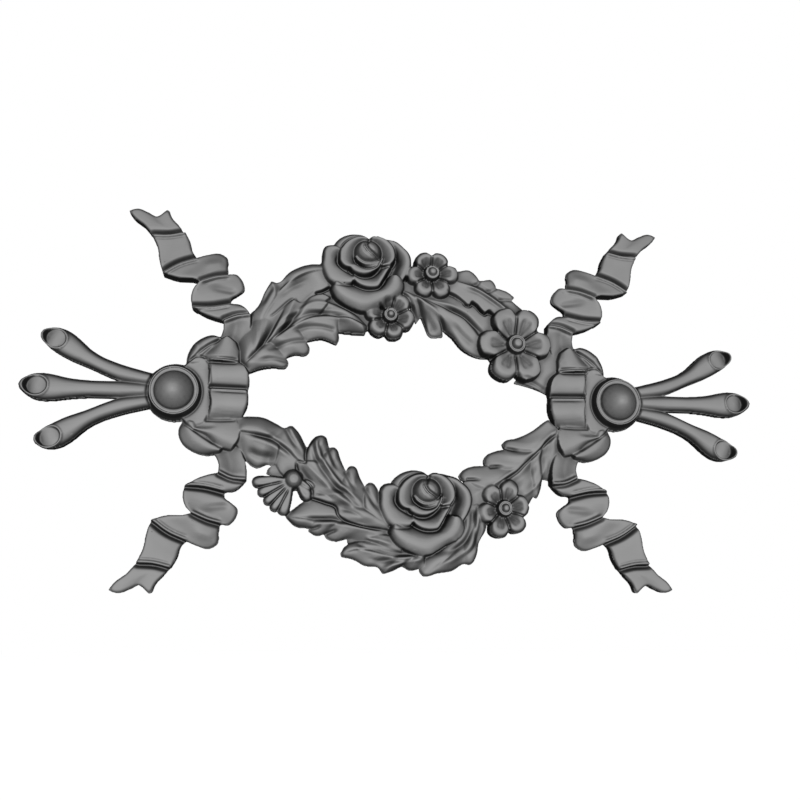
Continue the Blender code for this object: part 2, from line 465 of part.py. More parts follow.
def upper_leaves():
    """Spread the leaves of the upper garland, from left to right."""
    behind = leaf(
        [(-116, 56, 8), (-107, 73, 8), (-98, 89, 8), (-80, 102, 9), (-58, 108, 9)],
        [(0.0, -127, 64, 6, 0), (0.2, -116, 74.5, 6, 1), (0.35, -111.3, 86, 6, 1),
         (0.5, -106, 96, 6, 1), (0.6, -101.5, 94.5, 6, -1), (0.75, -92, 103.5, 7, 1),
         (0.85, -80, 110, 7, 1), (1.0, -58, 112, 8, 0)],
        [(0.0, -108, 50, 7, 0), (0.35, -92, 66, 7, 1), (0.6, -80, 78, 7, 0),
         (0.75, -70.5, 87, 7, -1), (0.85, -62, 91.5, 8, 0), (1.0, -52, 96, 8, 0)], columns=3)
    filler = sheet([(-82, 79, 7.5), (-68, 91, 7), (-36, 97, 6)],
                   [(-60, 66, 8), (-28, 58, 7), (-18, 78, 5)], rows=2, columns=1)
    behind_rose = sheet([(-14, 106, 4.5), (8, 108, 4.5)], [(-14, 80, 4.5), (10, 92, 4.5)],
                        rows=2, columns=1)
    broad = leaf(
        [(-126, 25, 8), (-115, 38, 8), (-100, 50.5, 8), (-85, 61, 8), (-70, 67, 7.5),
         (-50, 68, 7.5), (-28.5, 60.5, 8)],
        [(0.0, -132, 29, 6, 0), (0.1, -131, 41, 6, 2), (0.2, -125, 58, 6, 3),
         (0.25, -108, 65, 9, 2.5), (0.3, -102, 64, 8, 0), (0.4, -93.5, 75, 9, 2.5),
         (0.45, -87, 81.5, 9, 2.5), (0.5, -81.5, 78, 8, 0), (0.6, -73, 83.5, 9, 2),
         (0.65, -65, 85.8, 9, 2), (0.72, -57.5, 83, 9, 1.5), (0.75, -60.5, 79.2, 8, 0.5),
         (0.8, -52, 76.5, 8, 2), (0.9, -40, 70.8, 8, 1.5), (1.0, -28.5, 60.5, 8, 0)],
        [(0.0, -122.5, 19.5, 10, 0), (0.1, -113, 23.2, 9, 2), (0.2, -103, 25, 8, 2),
         (0.3, -93, 25.3, 6, 2), (0.35, -91.2, 29, 6, 1), (0.4, -93.8, 33, 7, 0),
         (0.45, -86, 36, 7, 2), (0.5, -77, 36.2, 6, 2), (0.55, -74.3, 40, 6, 1.5),
         (0.6, -78, 47, 7, 0.5), (0.7, -64, 49.3, 8, 2.5), (0.75, -53, 45.5, 6, 2.5),
         (0.8, -51, 50, 6, 2), (0.85, -53, 55.8, 7, 1), (0.9, -42, 54.8, 8, 3),
         (0.95, -30, 54.3, 8, 2), (1.0, -28.5, 60.5, 8, 0)])
    right_back = leaf(
        [(36, 102, 10), (50, 99.5, 10.5), (65, 93, 11), (82, 82, 11), (100, 69, 10)],
        [(0.0, 36, 113, 7, 0), (0.2, 47, 110.8, 7, 0), (0.35, 57, 112.5, 6, -1),
         (0.42, 62.5, 109, 5, -1), (0.45, 65.5, 104.3, 6, -1), (0.55, 76.5, 104.8, 5, -1),
         (0.6, 79.3, 101, 5, -1), (0.62, 79.5, 98, 6, -1), (0.72, 89, 95.7, 5, -1),
         (0.78, 95.5, 91, 5, -1), (0.8, 92, 88, 6, -1), (0.9, 99, 82.5, 6, 0),
         (1.0, 106, 77, 7, 0)],
        [(0.0, 36, 93, 9.5, 0), (0.2, 43, 89.5, 9.5, 0), (0.42, 53, 82, 9.5, 0),
         (0.5, 57, 82, 9.5, 0), (0.55, 58.5, 84.5, 9.5, 0), (0.6, 62, 82, 9.5, 0),
         (0.72, 68.5, 75.5, 9, 0), (0.78, 72, 77.5, 9, 0), (0.9, 78, 74, 9, 0),
         (1.0, 92, 62, 8, 0)], columns=3)
    right_front = leaf(
        [(-4, 93, 9), (12, 87, 9), (34, 78.5, 8), (50, 72.5, 7), (62, 62.5, 7), (74, 54, 8)],
        [(0.0, 2, 100, 9, 0), (0.4, 40, 94, 6, 0.5), (0.7, 62, 84, 5.5, 1), (1.0, 80, 72, 6, 0)],
        [(0.0, -6, 84, 8, 0), (0.1, 7.5, 80, 7, 0), (0.2, 9.8, 72, 4, 1.5),
         (0.25, 12.3, 66, 3.5, 1.5), (0.3, 16.3, 71.8, 5, 1), (0.35, 19.5, 64, 3.5, 2.5),
         (0.4, 24, 55, 3, 2.5), (0.45, 34.5, 55.3, 3, 2.5), (0.5, 34, 61.2, 4, 2.5),
         (0.6, 42, 54.5, 7, 2.5), (0.7, 50, 45.2, 7, 2.5), (0.85, 62, 38.8, 6, 1.5),
         (1.0, 78, 38, 6, 0)])
    tail = leaf([(94.3, 18.2, 5), (108, 22, 7), (127, 28, 7)],
                [(0.0, 94.3, 18.2, 5, 0), (0.15, 98.3, 22.8, 6, 0), (0.6, 108, 40, 7, 0),
                 (1.0, 132, 48, 5, 0)],
                [(0.0, 94.3, 18.2, 5, 0), (0.15, 100, 17, 4, 0), (0.6, 111, 14, 5, 0),
                 (1.0, 127, 7, 5, 0)], columns=2)
    return [behind, filler, behind_rose, broad, right_back, right_front, tail]


def lower_leaves():
    """Spread the leaves of the lower garland, from left to right."""
    arching = leaf(
        [(-131, -27, 9), (-117, -30, 9), (-105, -33, 9), (-94, -39, 9), (-82, -49, 9),
         (-68, -62, 9)],
        [(0.0, -131, -17.5, 8, 0), (0.15, -120, -15.4, 7, 2), (0.3, -109, -16.3, 6.5, 2.5),
         (0.45, -99, -21, 6, 2), (0.52, -93, -24, 6, 0.5), (0.6, -87.5, -22, 5.5, 1),
         (0.7, -82, -27, 5, 1.5), (0.8, -75, -39.5, 5, 1), (1.0, -62, -56, 7, 0)],
        [(0.0, -131, -37, 8, 0), (0.15, -127, -41, 6, 1), (0.3, -123, -48.5, 4, 2),
         (0.45, -114, -55.4, 3, 2.5), (0.52, -104, -52.5, 4, 2), (0.6, -101, -54, 4, 2),
         (0.62, -99.5, -51.5, 5, 1), (0.8, -94, -60, 6, 0), (1.0, -78, -72, 7, 0)])
    scrap = sheet([(-106, -60, 4), (-105, -56.5, 4), (-100, -53, 4)],
                  [(-90, -66, 5), (-88, -58, 5), (-86, -52, 5)], rows=2, columns=1)
    tall = leaf(
        [(-10, -100, 10), (-26, -89.5, 11), (-44, -74, 11.5), (-57, -60, 11.5),
         (-66.5, -43, 11), (-64, -29.3, 8)],
        [(0.0, -10, -102.5, 9, 0), (0.2, -30, -99.7, 9, 1), (0.35, -49, -92, 9, 1.5),
         (0.4, -50.3, -86.5, 8.5, 0.5), (0.5, -60, -81.7, 9, 1.5), (0.55, -70.5, -78.7, 8, 1.5),
         (0.6, -70.3, -72.5, 8, 0), (0.7, -76, -65, 8, 1), (0.75, -82, -57, 8, 1),
         (0.8, -83, -49.5, 8, 1), (0.85, -77, -51.3, 8, 0), (0.9, -75.6, -43, 8, 1),
         (0.95, -70.8, -33, 8, 1), (0.98, -67.5, -30.2, 8, 0.5), (1.0, -64, -29.2, 8, 0)],
        [(0.0, -9, -98, 10, 0), (0.2, -17, -80, 7, 1), (0.3, -20.5, -68.5, 6, 1.5),
         (0.35, -24, -65.8, 6, 1.5), (0.38, -27.3, -67.2, 6.5, 1), (0.4, -28.8, -71, 8, 0),
         (0.5, -34, -60, 6, 1), (0.54, -36.5, -54, 6, 1.5), (0.57, -39.5, -52.9, 6, 1.5),
         (0.6, -42.3, -54.6, 6.5, 1), (0.65, -44, -59, 8, 0), (0.74, -49.5, -45.5, 6, 1),
         (0.78, -51.5, -40, 6, 1.5), (0.81, -54, -38.3, 6, 1.5), (0.84, -56.6, -39, 6.5, 0.5),
         (0.86, -57.8, -41, 8, 0), (0.93, -59, -34.5, 7, 1), (0.97, -60.5, -30.5, 7, 0.5),
         (1.0, -64, -29.2, 8, 0)])
    low = leaf(
        [(-12, -104, 7), (-30, -101, 7), (-46, -96.5, 6.5), (-60, -95, 6.5), (-74, -94.5, 6.5),
         (-90.5, -93, 5)],
        [(0.0, -12, -96, 8, 0), (0.35, -45, -90, 8, 1.5), (0.6, -58, -82, 7, 1.5),
         (0.75, -72, -79.7, 6, 1.5), (0.9, -84, -87, 5, 1), (1.0, -90.5, -93, 5, 0)],
        [(0.0, -10, -114, 6, 0), (0.2, -26, -113, 5, 1), (0.35, -41, -109.7, 4, 1.5),
         (0.5, -53, -111.7, 3.5, 2), (0.55, -59.5, -108, 3.5, 1.5), (0.6, -60, -106, 4.5, 1),
         (0.65, -66, -107.6, 4, 2), (0.75, -72.5, -104, 4, 1.5), (0.8, -71, -102, 4.5, 1),
         (0.9, -83, -100.3, 4.5, 1.5), (1.0, -90.5, -93, 5, 0)], columns=3)
    tongue = sheet([(-24, -111.5, 6), (-14, -115.5, 8), (0, -120, 9)],
                   [(-28, -107.8, 6), (-20, -106.8, 8), (-4, -108, 9)],
                   rows=3, columns=2, crown=1.0)
    under = sheet([(-41, -109, 4), (-42, -112, 4), (-40.5, -114.5, 4)],
                  [(-22, -107, 5), (-18, -112, 5), (-14, -118, 5)], rows=2, columns=1)
    bottom = leaf(
        [(20, -122, 8), (0, -122.5, 6.5), (-14, -121, 6.5), (-26, -117.7, 6.5),
         (-47, -121, 6)],
        [(0.0, 18, -114, 8, 0), (0.35, -4, -113.5, 7, 0.5), (0.65, -24, -111.6, 6, 1.5),
         (0.85, -37, -113, 6, 1.5), (0.93, -43.5, -115.7, 6, 1), (1.0, -47, -121, 6, 0)],
        [(0.0, 18, -131, 6, 0), (0.15, 7, -134, 5, 2), (0.25, 1, -131, 5, 1.5),
         (0.35, -6, -134, 5, 2.5), (0.42, -14, -136.7, 5, 2), (0.48, -17.5, -131.8, 5, 0.5),
         (0.65, -28, -130.5, 5, 1.5), (0.85, -37, -125.7, 5, 1), (0.95, -46.5, -123.7, 5, 0.5),
         (1.0, -47, -121, 6, 0)], columns=3)
    curled = leaf(
        [(60, -82, 10), (57, -98, 9), (50, -113, 8.5), (38, -123, 8), (18, -138.5, 5)],
        [(0.0, 53, -82, 9, 0), (0.25, 47, -100, 8, 0.5), (0.5, 38, -113, 8, 1.5),
         (0.6, 31, -119.3, 7, 0.5), (0.75, 22, -124, 6, 1), (0.9, 15.6, -131, 5, 0.5),
         (0.96, 15.4, -135.5, 5, 0.3), (1.0, 18, -138.5, 5, 0)],
        [(0.0, 67, -82, 8, 0), (0.25, 67.5, -102, 7, 1.5), (0.35, 62, -112, 6, 0),
         (0.5, 60, -122, 6, 1.5), (0.57, 55, -129.3, 5, 1), (0.6, 51, -128.6, 5, 0.5),
         (0.75, 40, -134.3, 5, 1.5), (0.88, 27, -136.5, 5, 0.5),
         (0.96, 21.5, -138.3, 5, 0.3), (1.0, 18, -138.5, 5, 0)],
        columns=3)
    split = leaf(
        [(128, -19, 9), (112, -34.5, 10), (97, -48.5, 10.5), (84, -60, 10.5), (54, -77, 10)],
        [(0.0, 121, -12.5, 9, 0), (0.2, 106, -23.2, 8, 0.5), (0.34, 93, -28.7, 6, 1),
         (0.39, 86, -30.3, 5.5, 1), (0.42, 83.2, -33.2, 5.5, 1), (0.44, 84.5, -36.4, 6, 0.5),
         (0.46, 88.5, -37.3, 8, 0), (0.53, 76, -39.5, 6, 1.5), (0.58, 70, -42.5, 5.5, 1),
         (0.62, 67.3, -47.5, 5.5, 1), (0.64, 68.5, -51.5, 6, 0.5), (0.67, 74, -52.2, 8, 0),
         (0.78, 60, -51.5, 6, 1), (0.83, 51, -54.5, 5.5, 1), (0.86, 46.9, -59.5, 5.5, 1),
         (0.88, 48.5, -62.2, 6, 0.5), (0.91, 56, -62.2, 8, 0), (1.0, 46, -67, 9, 0)],
        [(0.0, 131, -26, 9, 0), (0.1, 128, -40, 5, 1), (0.2, 124, -52, 4, 0),
         (0.25, 121, -61.5, 4, 0), (0.28, 115.5, -60.5, 4, 0), (0.35, 114, -69, 4, 1.5),
         (0.42, 111, -76.3, 4, 1), (0.45, 108, -74.5, 4, 0.5), (0.55, 101, -84, 5, 1),
         (0.67, 88, -84, 7, 0), (0.85, 70, -84, 9, 0), (1.0, 54, -84, 9, 0)])
    left_filler = sheet([(-26, -96, 7), (-4, -94, 7)], [(-24, -112, 7), (0, -116, 7)],
                        rows=2, columns=1)
    right_filler = sheet([(12, -114, 5), (48, -98, 5)], [(14, -128, 5), (46, -120, 5)],
                         rows=2, columns=1)
    return [arching, scrap, tall, low, tongue, under, bottom, curled, split, left_filler,
            right_filler]


def block(grid, base=-BELOW_BACK):
    """Close a grid of heights into a block that reaches down to its base."""
    numbers, spots = {}, []

    def number(point):
        key = (round(point[0], SAME), round(point[1], SAME))
        if key not in numbers:
            numbers[key] = len(spots)
            spots.append(point)
        return numbers[key]

    ids = [[number(point) for point in row] for row in grid]
    faces, area = [], 0.0
    for i in range(len(ids) - 1):
        for j in range(len(ids[0]) - 1):
            loop = [ids[i][j], ids[i][j + 1], ids[i + 1][j + 1], ids[i + 1][j]]
            face = [n for k, n in enumerate(loop) if n != loop[k - 1]]
            if len(face) > 2:
                faces.append(face)
                corners = np.array([spots[n][:2] for n in face])
                area += np.sum(corners[:, 0] * np.roll(corners[:, 1], -1)
                               - corners[:, 1] * np.roll(corners[:, 0], -1))
    if area < 0:
        faces = [face[::-1] for face in faces]

    solid = bmesh.new()
    tops = [solid.verts.new((x * UNIT, -h * UNIT_DEEP, (z - MOUNT_Z) * UNIT))
            for x, z, h in spots]
    for face in faces:
        solid.faces.new([tops[n] for n in face])
    rim = [loop for edge in solid.edges if edge.is_boundary for loop in edge.link_loops]
    following = {loop.vert: loop.link_loop_next.vert for loop in rim}
    feet = {}
    for top in following:
        feet[top] = solid.verts.new((top.co.x, -base * UNIT_DEEP, top.co.z))
    for top, after in following.items():
        solid.faces.new([after, top, feet[top], feet[after]])
    first = next(iter(following))
    loop, top = [feet[first]], following[first]
    while top is not first:
        loop.append(feet[top])
        top = following[top]
    solid.faces.new(loop[::-1])
    bmesh.ops.triangulate(solid, faces=solid.faces[:])
    mesh = bpy.data.meshes.new("block")
    solid.to_mesh(mesh)
    solid.free()
    return mesh


def combined(meshes, operation, base=None):
    """Unite meshes, or cut them from a base mesh, and return the new mesh.

    The exact solver leaves open edges where two forms share a corner, so this takes the
    manifold solver, which keeps the surface closed.
    """
    group = bpy.data.collections.new("operands")
    bpy.context.scene.collection.children.link(group)
    parts = [bpy.data.objects.new("operand", mesh) for mesh in meshes]
    body = bpy.data.objects.new("body", base) if base else parts.pop(0)
    bpy.context.scene.collection.objects.link(body)
    for operand in parts:
        group.objects.link(operand)
    boolean = body.modifiers.new("combine", "BOOLEAN")
    boolean.operation = operation
    boolean.operand_type = "COLLECTION"
    boolean.collection = group
    boolean.solver = "MANIFOLD"
    result = evaluated_mesh(body)
    for operand in parts + [body]:
        bpy.data.objects.remove(operand)
    bpy.data.collections.remove(group)
    return result


def evaluated_mesh(body):
    """Return the mesh of an object after its modifiers."""
    return bpy.data.meshes.new_from_object(
        body.evaluated_get(bpy.context.evaluated_depsgraph_get()))


def thinned(mesh):
    """Collapse the smallest triangles until few enough are left."""
    split = bmesh.new()
    split.from_mesh(mesh)
    bmesh.ops.triangulate(split, faces=split.faces[:])
    count = len(split.faces)
    split.to_mesh(mesh)
    split.free()
    body = bpy.data.objects.new("body", mesh)
    bpy.context.scene.collection.objects.link(body)
    decimate = body.modifiers.new("thin", "DECIMATE")
    decimate.ratio = min(1.0, TRIANGLES / count)
    result = evaluated_mesh(body)
    bpy.data.objects.remove(body)
    for vert in result.vertices:
        if abs(vert.co.y) < AT_BACK:
            vert.co.y = 0.0
    return result


def back_cutter():
    """Make a box that takes away everything behind the flat back."""
    reach = LENGTH
    cutter = bmesh.new()
    bmesh.ops.create_cube(cutter, size=1.0)
    for vert in cutter.verts:
        vert.co = (vert.co.x * 2 * reach, (vert.co.y + 0.5) * reach, vert.co.z * 2 * reach)
    mesh = bpy.data.meshes.new("behind the back")
    cutter.to_mesh(mesh)
    cutter.free()
    return mesh


def painted_wood():
    """Matte grey primer on carved wood."""
    material = bpy.data.materials.new("grey primed wood")
    material.use_nodes = True
    shader = material.node_tree.nodes["Principled BSDF"]
    shader.inputs["Base Color"].default_value = (0.30, 0.30, 0.30, 1.0)
    shader.inputs["Roughness"].default_value = 0.65
    shader.inputs["Metallic"].default_value = 0.0
    return material


def frame_grids():
    """Collect the grids of the whole frame."""
    fold = ribbon()
    end = knot() + [boss()] + pipes()
    grids = []
    for x in (1, -1):
        for z in (1, -1):
            grids += mirrored(fold, x, z)
        grids += mirrored(end, x)
    grids += upper_leaves() + lower_leaves()
    grids += flowers() + daisy()
    grids += rose(UPPER_ROSE) + rose(LOWER_ROSE)
    return grids


def carved_frame():
    """Unite the forms, hollow the pipe mouths and cut the back flat."""
    blocks = [block(grid, base=-BELOW_BACK - STAGGER * number)
              for number, grid in enumerate(frame_grids())]
    body = combined(blocks, "UNION")
    hollows = [flipped for x in (1, -1) for flipped in mirrored(mouths(), x)]
    above = DRAWN_DEPTH * 2
    cutters = [block(hollow, base=above) for hollow in hollows]
    for cutter in cutters:
        cutter.flip_normals()
    mesh = thinned(combined(cutters + [back_cutter()], "DIFFERENCE", base=body))
    mesh.name = "carved_frame"
    frame = bpy.data.objects.new("carved_frame", mesh)
    bpy.context.scene.collection.objects.link(frame)
    mesh.materials.clear()
    mesh.materials.append(painted_wood())
    mesh.shade_smooth()
    mesh.set_sharp_from_angle(angle=math.radians(35))
    return frame


for old in list(bpy.data.objects):
    bpy.data.objects.remove(old)
carved_frame()
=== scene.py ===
"""Dress the carved diamond frame: its full relief, grey primer with painted shade, a pale floor and
soft light.

The relief is drawn on the frame's front plane, x to the right and z up from the middle
of the frame, with heights above the flat back, all in drawn units. The forms raise a
height field, creases and lips are carved into it, and the field becomes one mesh.
"""
import math

import bpy
import numpy as np
from mathutils import Matrix, Vector
from mathutils.geometry import delaunay_2d_cdt


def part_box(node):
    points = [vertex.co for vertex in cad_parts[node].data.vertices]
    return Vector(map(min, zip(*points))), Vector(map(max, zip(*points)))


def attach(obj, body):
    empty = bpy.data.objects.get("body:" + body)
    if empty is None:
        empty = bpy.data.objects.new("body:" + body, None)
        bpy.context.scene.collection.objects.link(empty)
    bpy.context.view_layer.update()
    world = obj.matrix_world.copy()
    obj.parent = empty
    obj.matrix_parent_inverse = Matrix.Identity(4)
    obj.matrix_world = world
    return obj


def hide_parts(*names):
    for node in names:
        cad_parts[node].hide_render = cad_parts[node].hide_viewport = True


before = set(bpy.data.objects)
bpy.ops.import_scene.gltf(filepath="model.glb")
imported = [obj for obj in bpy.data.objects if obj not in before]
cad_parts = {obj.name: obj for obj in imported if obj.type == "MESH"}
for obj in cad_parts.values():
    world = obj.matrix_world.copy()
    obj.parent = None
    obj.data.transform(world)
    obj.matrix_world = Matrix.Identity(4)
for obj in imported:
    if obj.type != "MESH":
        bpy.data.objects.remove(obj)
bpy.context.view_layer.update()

NODE = "carved_frame"
LOW, HIGH = (np.array(corner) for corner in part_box(NODE))
MIDDLE = (LOW + HIGH) / 2
DRAWN_LENGTH = 587.6            # the frame's length and depth in drawn units
DRAWN_DEPTH = 27.0
UNIT = (HIGH[0] - LOW[0]) / DRAWN_LENGTH            # metres to a drawn unit, across and deep
UNIT_DEEP = (HIGH[1] - LOW[1]) / DRAWN_DEPTH

# how the forms are spanned
NO_GAP = 1e-6                   # keeps a division off 0
CORNER = math.radians(66)       # a path that turns harder than this stays sharp there
FINER = 4                       # how many times more rows and columns each form gets than are drawn
BEND = 0.3                      # rows spent on each radian of bend, where a form's length takes one
BEND_STEPS = 24                 # how many times a path's bend is read for each of its rows
TUCK_SHARE = 0.2                # share of a form's length over which its end is tucked down
HIDDEN_WIDTH = 0.8              # width of the row that is hidden under the next form
ROUNDER = 3                     # how many times more sides the turned forms get
VEIN_STEPS = 4                  # steps from each vein of a leaf to the next
VEIN_SWELL = 2.0                # how far the veins stand out, as a factor on their drawn swell
VEIN_SWEEP = 0.25               # how far forward the veins bend, as a share of their length
VEIN_LAG = 1.6                  # how early the veins leave the spine, as a power of the share
SPINE_STEP = 0.05               # part of a step between spine points that shows where it heads

# the ends of the frame
BOSS_CENTRE = (178.5, 2.5)
BOSS_RADIUS = 22.8
DOME_FALL = 0.145               # how fast the boss's dome falls, over a power of the radius
DOME_BEND = 1.6
PIPE_AXIS_Z = 3.3               # the pipes mirror about this height
MOUTHS = ((-269.8, 41.7, 25), (-281.9, 4.4, 0), (-269.8, -35.1, -25))   # x, z and degrees of tilt
MOUTH_RADIUS = 6.8
MOUTH_STRETCH = 1.18            # length of a mouth along its pipe, over its width
MOUTH_FLOOR = 10.5              # height of the mouths' floors, and how fast they fall outwards
MOUTH_FALL = 0.016
MOUTH_RIM = 1.17                # how far out the mouths' rims are, in radii

# the flowers
UPPER_ROSE = (-29.0, 122.3)     # where the middle of each rose's bud is
LOWER_ROSE = (19.1, -72.0)
LIPS_RAISED = 1.2               # how much further up the lips and the petal below them sit
DAISY = (-85.0, -64.8)          # its ball, and the degrees, reach and width of its petals
DAISY_PETALS = ((184, 32, 9), (202, 29.5, 8), (220, 28.8, 7.5), (236, 29, 7.5), (252, 28.5, 9.5),
                (312, 20, 10), (342, 17, 8))
DAISY_GAP = 30                  # daisy petals that are closer than this, in degrees, touch
# each open flower's centre, petals (degrees, reach and width), height, and collar's and ball's radius
FLOWERS = (
    ((24.6, 107.2), ((-4, 21.5, 15), (60, 18, 16), (124, 18.5, 16), (191, 21.5, 14.5),
                     (243, 22, 15), (-63, 22.5, 15)), 14, 6.2, 3.7),
    ((-9.5, 70.6), ((104, 17, 12), (50, 20, 16), (-16, 20, 18), (-78, 20.5, 14.5), (226, 21.5, 15.5),
                    (176, 20.5, 12)), 12, 6.0, 3.0),
    ((94.5, 49.1), ((0, 28.5, 22), (65, 31, 21), (115, 31, 21), (180, 31.5, 22),
                    (242, 32.5, 22), (-65, 31.5, 22)), 14.5, 7.5, 4.6),
    ((82.5, -85.2), ((8, 19.5, 18), (77, 23, 15), (134, 22, 15), (194, 22, 15.5),
                     (253, 24, 15.5), (-53, 22.5, 15.5)), 13.5, 6.2, 3.2))

# the height field and the mesh
PIXEL = 0.5                     # spacing of the height field's samples
X_REACH, Z_REACH = 300, 158     # how far the field goes from the middle of the frame
FORM_STEP = 0.7                 # spacing of the points that raise a form, in pixels
STROKE_REACH = 2.2              # how far a crease is felt to each side, in half widths
BLUR_REACH = 3                  # how far a blur is felt, in its widths
LEAST_COVER = 1e-3              # keeps an average off a division by 0 outside the frame
SOFT = 0.5                      # how far the paint softens every edge
ROUNDED = 1.7                   # radius of the outline's front edge
DEEPENED = 4.0                  # reach over which the carving is deepened
DEEPER = 0.35                   # by this share of its height above or below its surroundings
THINNEST = 2.0                  # least height of the front above the back
SHOULDER = 1.5                  # how far below the front's edge the upright walls start
OUTLINE = 0.5                   # share of cover at which the outline runs
OFF_SAMPLE = 0.04               # least distance of the outline from a sample, in pixels
SAME_POINT = 1e-5               # points of the back that are closer than this are one
TRIANGLES = 190000              # the mesh is thinned to this many
FACING_BACK = 0.99              # a face whose normal goes backwards by more than this is the back's

# the paint, and the shade painted on its steep sides and in its hollows
HOLLOW = 3.0                    # reach over which a hollow is told from its surroundings
HOLLOW_DEPTH = 2.0              # how deep a hollow is that gets the darkest painted shade
HOLLOW_SHADE = 0.5               # how much darker the painted shade makes such a hollow
SIDE_SHADE_STEEPNESS = 2.6            # how fast the painted shade darkens a surface as it turns from the front
# colour of the painted shade on steep sides and in hollows
PAINTED_SHADE_COLOUR = (0.004, 0.004, 0.004)
THIN_PRIMER = (0.235, 0.235, 0.235)     # the primer's two tones, in blotches
THICK_PRIMER = (0.305, 0.305, 0.305)
BLOTCHES = 45.0                 # how many blotches a metre, and how many finer layers they have
BLOTCH_DETAIL = 4.0
ROUGHNESS = (0.25, 0.48)        # how much it varies, and its least value
SHEEN = 0.25
GRAIN = (90.0, 700.0, 1100.0)   # how many streaks of grain a metre, along each axis
GRAIN_DETAIL = 3.0
GRAIN_STRENGTH = 0.35
GRAIN_DEPTH = 0.00025           # in metres

# the camera, the lights and the floor, in metres
FIELD_OF_VIEW = math.radians(45)
SENSOR = 36                     # in millimetres
EYE = (-0.10512, -0.76224, -0.14122)    # from the middle of the frame's back
LOOKS_ALONG = (0.1338, 0.974, 0.1831)
UP = (-0.0261, -0.1812, 0.9831)
KEY_BEHIND_EYE = 2.5
KEY_SIZE = 0.8
KEY_POWER = 105.0
AMBIENT = 0.08                  # light of the surroundings on the frame
FLOOR_BELOW = 0.9
FLOOR_REACH = 12.0
FLOOR_LIGHT = 3.4
FLOOR_COLOUR = (0.9, 0.9, 0.9)
FLOOR_ROUGHNESS = 0.9
WHITE = (1, 1, 1, 1)


def filled(points):
    """Give a height to each point that has none, in a straight line between its neighbours."""
    known = [i for i, point in enumerate(points) if len(point) > 2]
    heights = np.interp(range(len(points)), known, [points[i][2] for i in known])
    return np.array([(point[0], point[1], height) for point, height in zip(points, heights)])


def smooth(points):
    """Return a smooth curve through points, sharp at hard turns, and the distance to each.

    The curve is a function of a place: 2.5 is halfway from points[2] to points[3].
    """
    points = np.asarray(points, float)
    gaps = np.maximum(np.linalg.norm(np.diff(points[:, :2], axis=0), axis=1), NO_GAP)
    slopes = np.diff(points, axis=0) / gaps[:, None]
    arriving = np.vstack([slopes[:1], slopes])
    leaving = np.vstack([slopes, slopes[-1:]])
    for i in range(1, len(points) - 1):
        before, after = slopes[i - 1], slopes[i]
        level = np.linalg.norm(before[:2]) * np.linalg.norm(after[:2])
        if level > 0 and before[:2] @ after[:2] > math.cos(CORNER) * level:
            shared = (before * gaps[i] + after * gaps[i - 1]) / (gaps[i] + gaps[i - 1])
            arriving[i] = leaving[i] = shared

    def at(place):
        i = min(int(place), len(gaps) - 1)
        f = place - i
        return ((1 + 2 * f) * (1 - f) ** 2 * points[i] + f * (1 - f) ** 2 * gaps[i] * leaving[i]
                + f * f * (3 - 2 * f) * points[i + 1] - f * f * (1 - f) * gaps[i] * arriving[i + 1])

    return at, np.concatenate([[0.0], np.cumsum(gaps)])


def sampled(points, shares):
    """Read a smooth curve at shares of its length, moving the nearest share to each corner."""
    points = filled(points)
    at, distance = smooth(points)
    places = np.interp(np.asarray(shares) * distance[-1], distance, range(len(points)))
    steps = np.diff(points[:, :2], axis=0)
    turns = np.abs(np.angle((steps[1:, 0] + 1j * steps[1:, 1])
                            * (steps[:-1, 0] - 1j * steps[:-1, 1])))
    for i in np.nonzero(turns > CORNER)[0] + 1:
        nearest = 1 + int(np.argmin(np.abs(places[1:-1] - i)))
        places[nearest] = i
    return np.array([at(place) for place in np.sort(places)])


def spread(paths, count):
    """Choose shares along some paths, closer together where the paths bend."""
    fine = np.linspace(0, 1, BEND_STEPS * count + 1)
    spent = np.zeros(len(fine))
    for points in paths:
        points = filled(points)
        at, distance = smooth(points)
        places = np.interp(fine * distance[-1], distance, range(len(points)))
        steps = np.diff([at(place)[:2] for place in places], axis=0)
        lengths = np.linalg.norm(steps, axis=1)
        headings = np.unwrap(np.arctan2(steps[:, 1], steps[:, 0]))
        turns = np.abs(np.diff(headings, prepend=headings[0]))
        spent[1:] += np.cumsum(lengths / lengths.sum() + BEND * turns)
    return np.interp(np.linspace(0, spent[-1], count + 1), spent, fine)


def bump(shares, crest, fullness):
    """Rise from 0 at one side to 1 at the crest and back to 0 at the other side."""
    skew = math.log(0.5) / math.log(crest)
    return np.sin(math.pi * shares ** skew).clip(0, 1) ** fullness


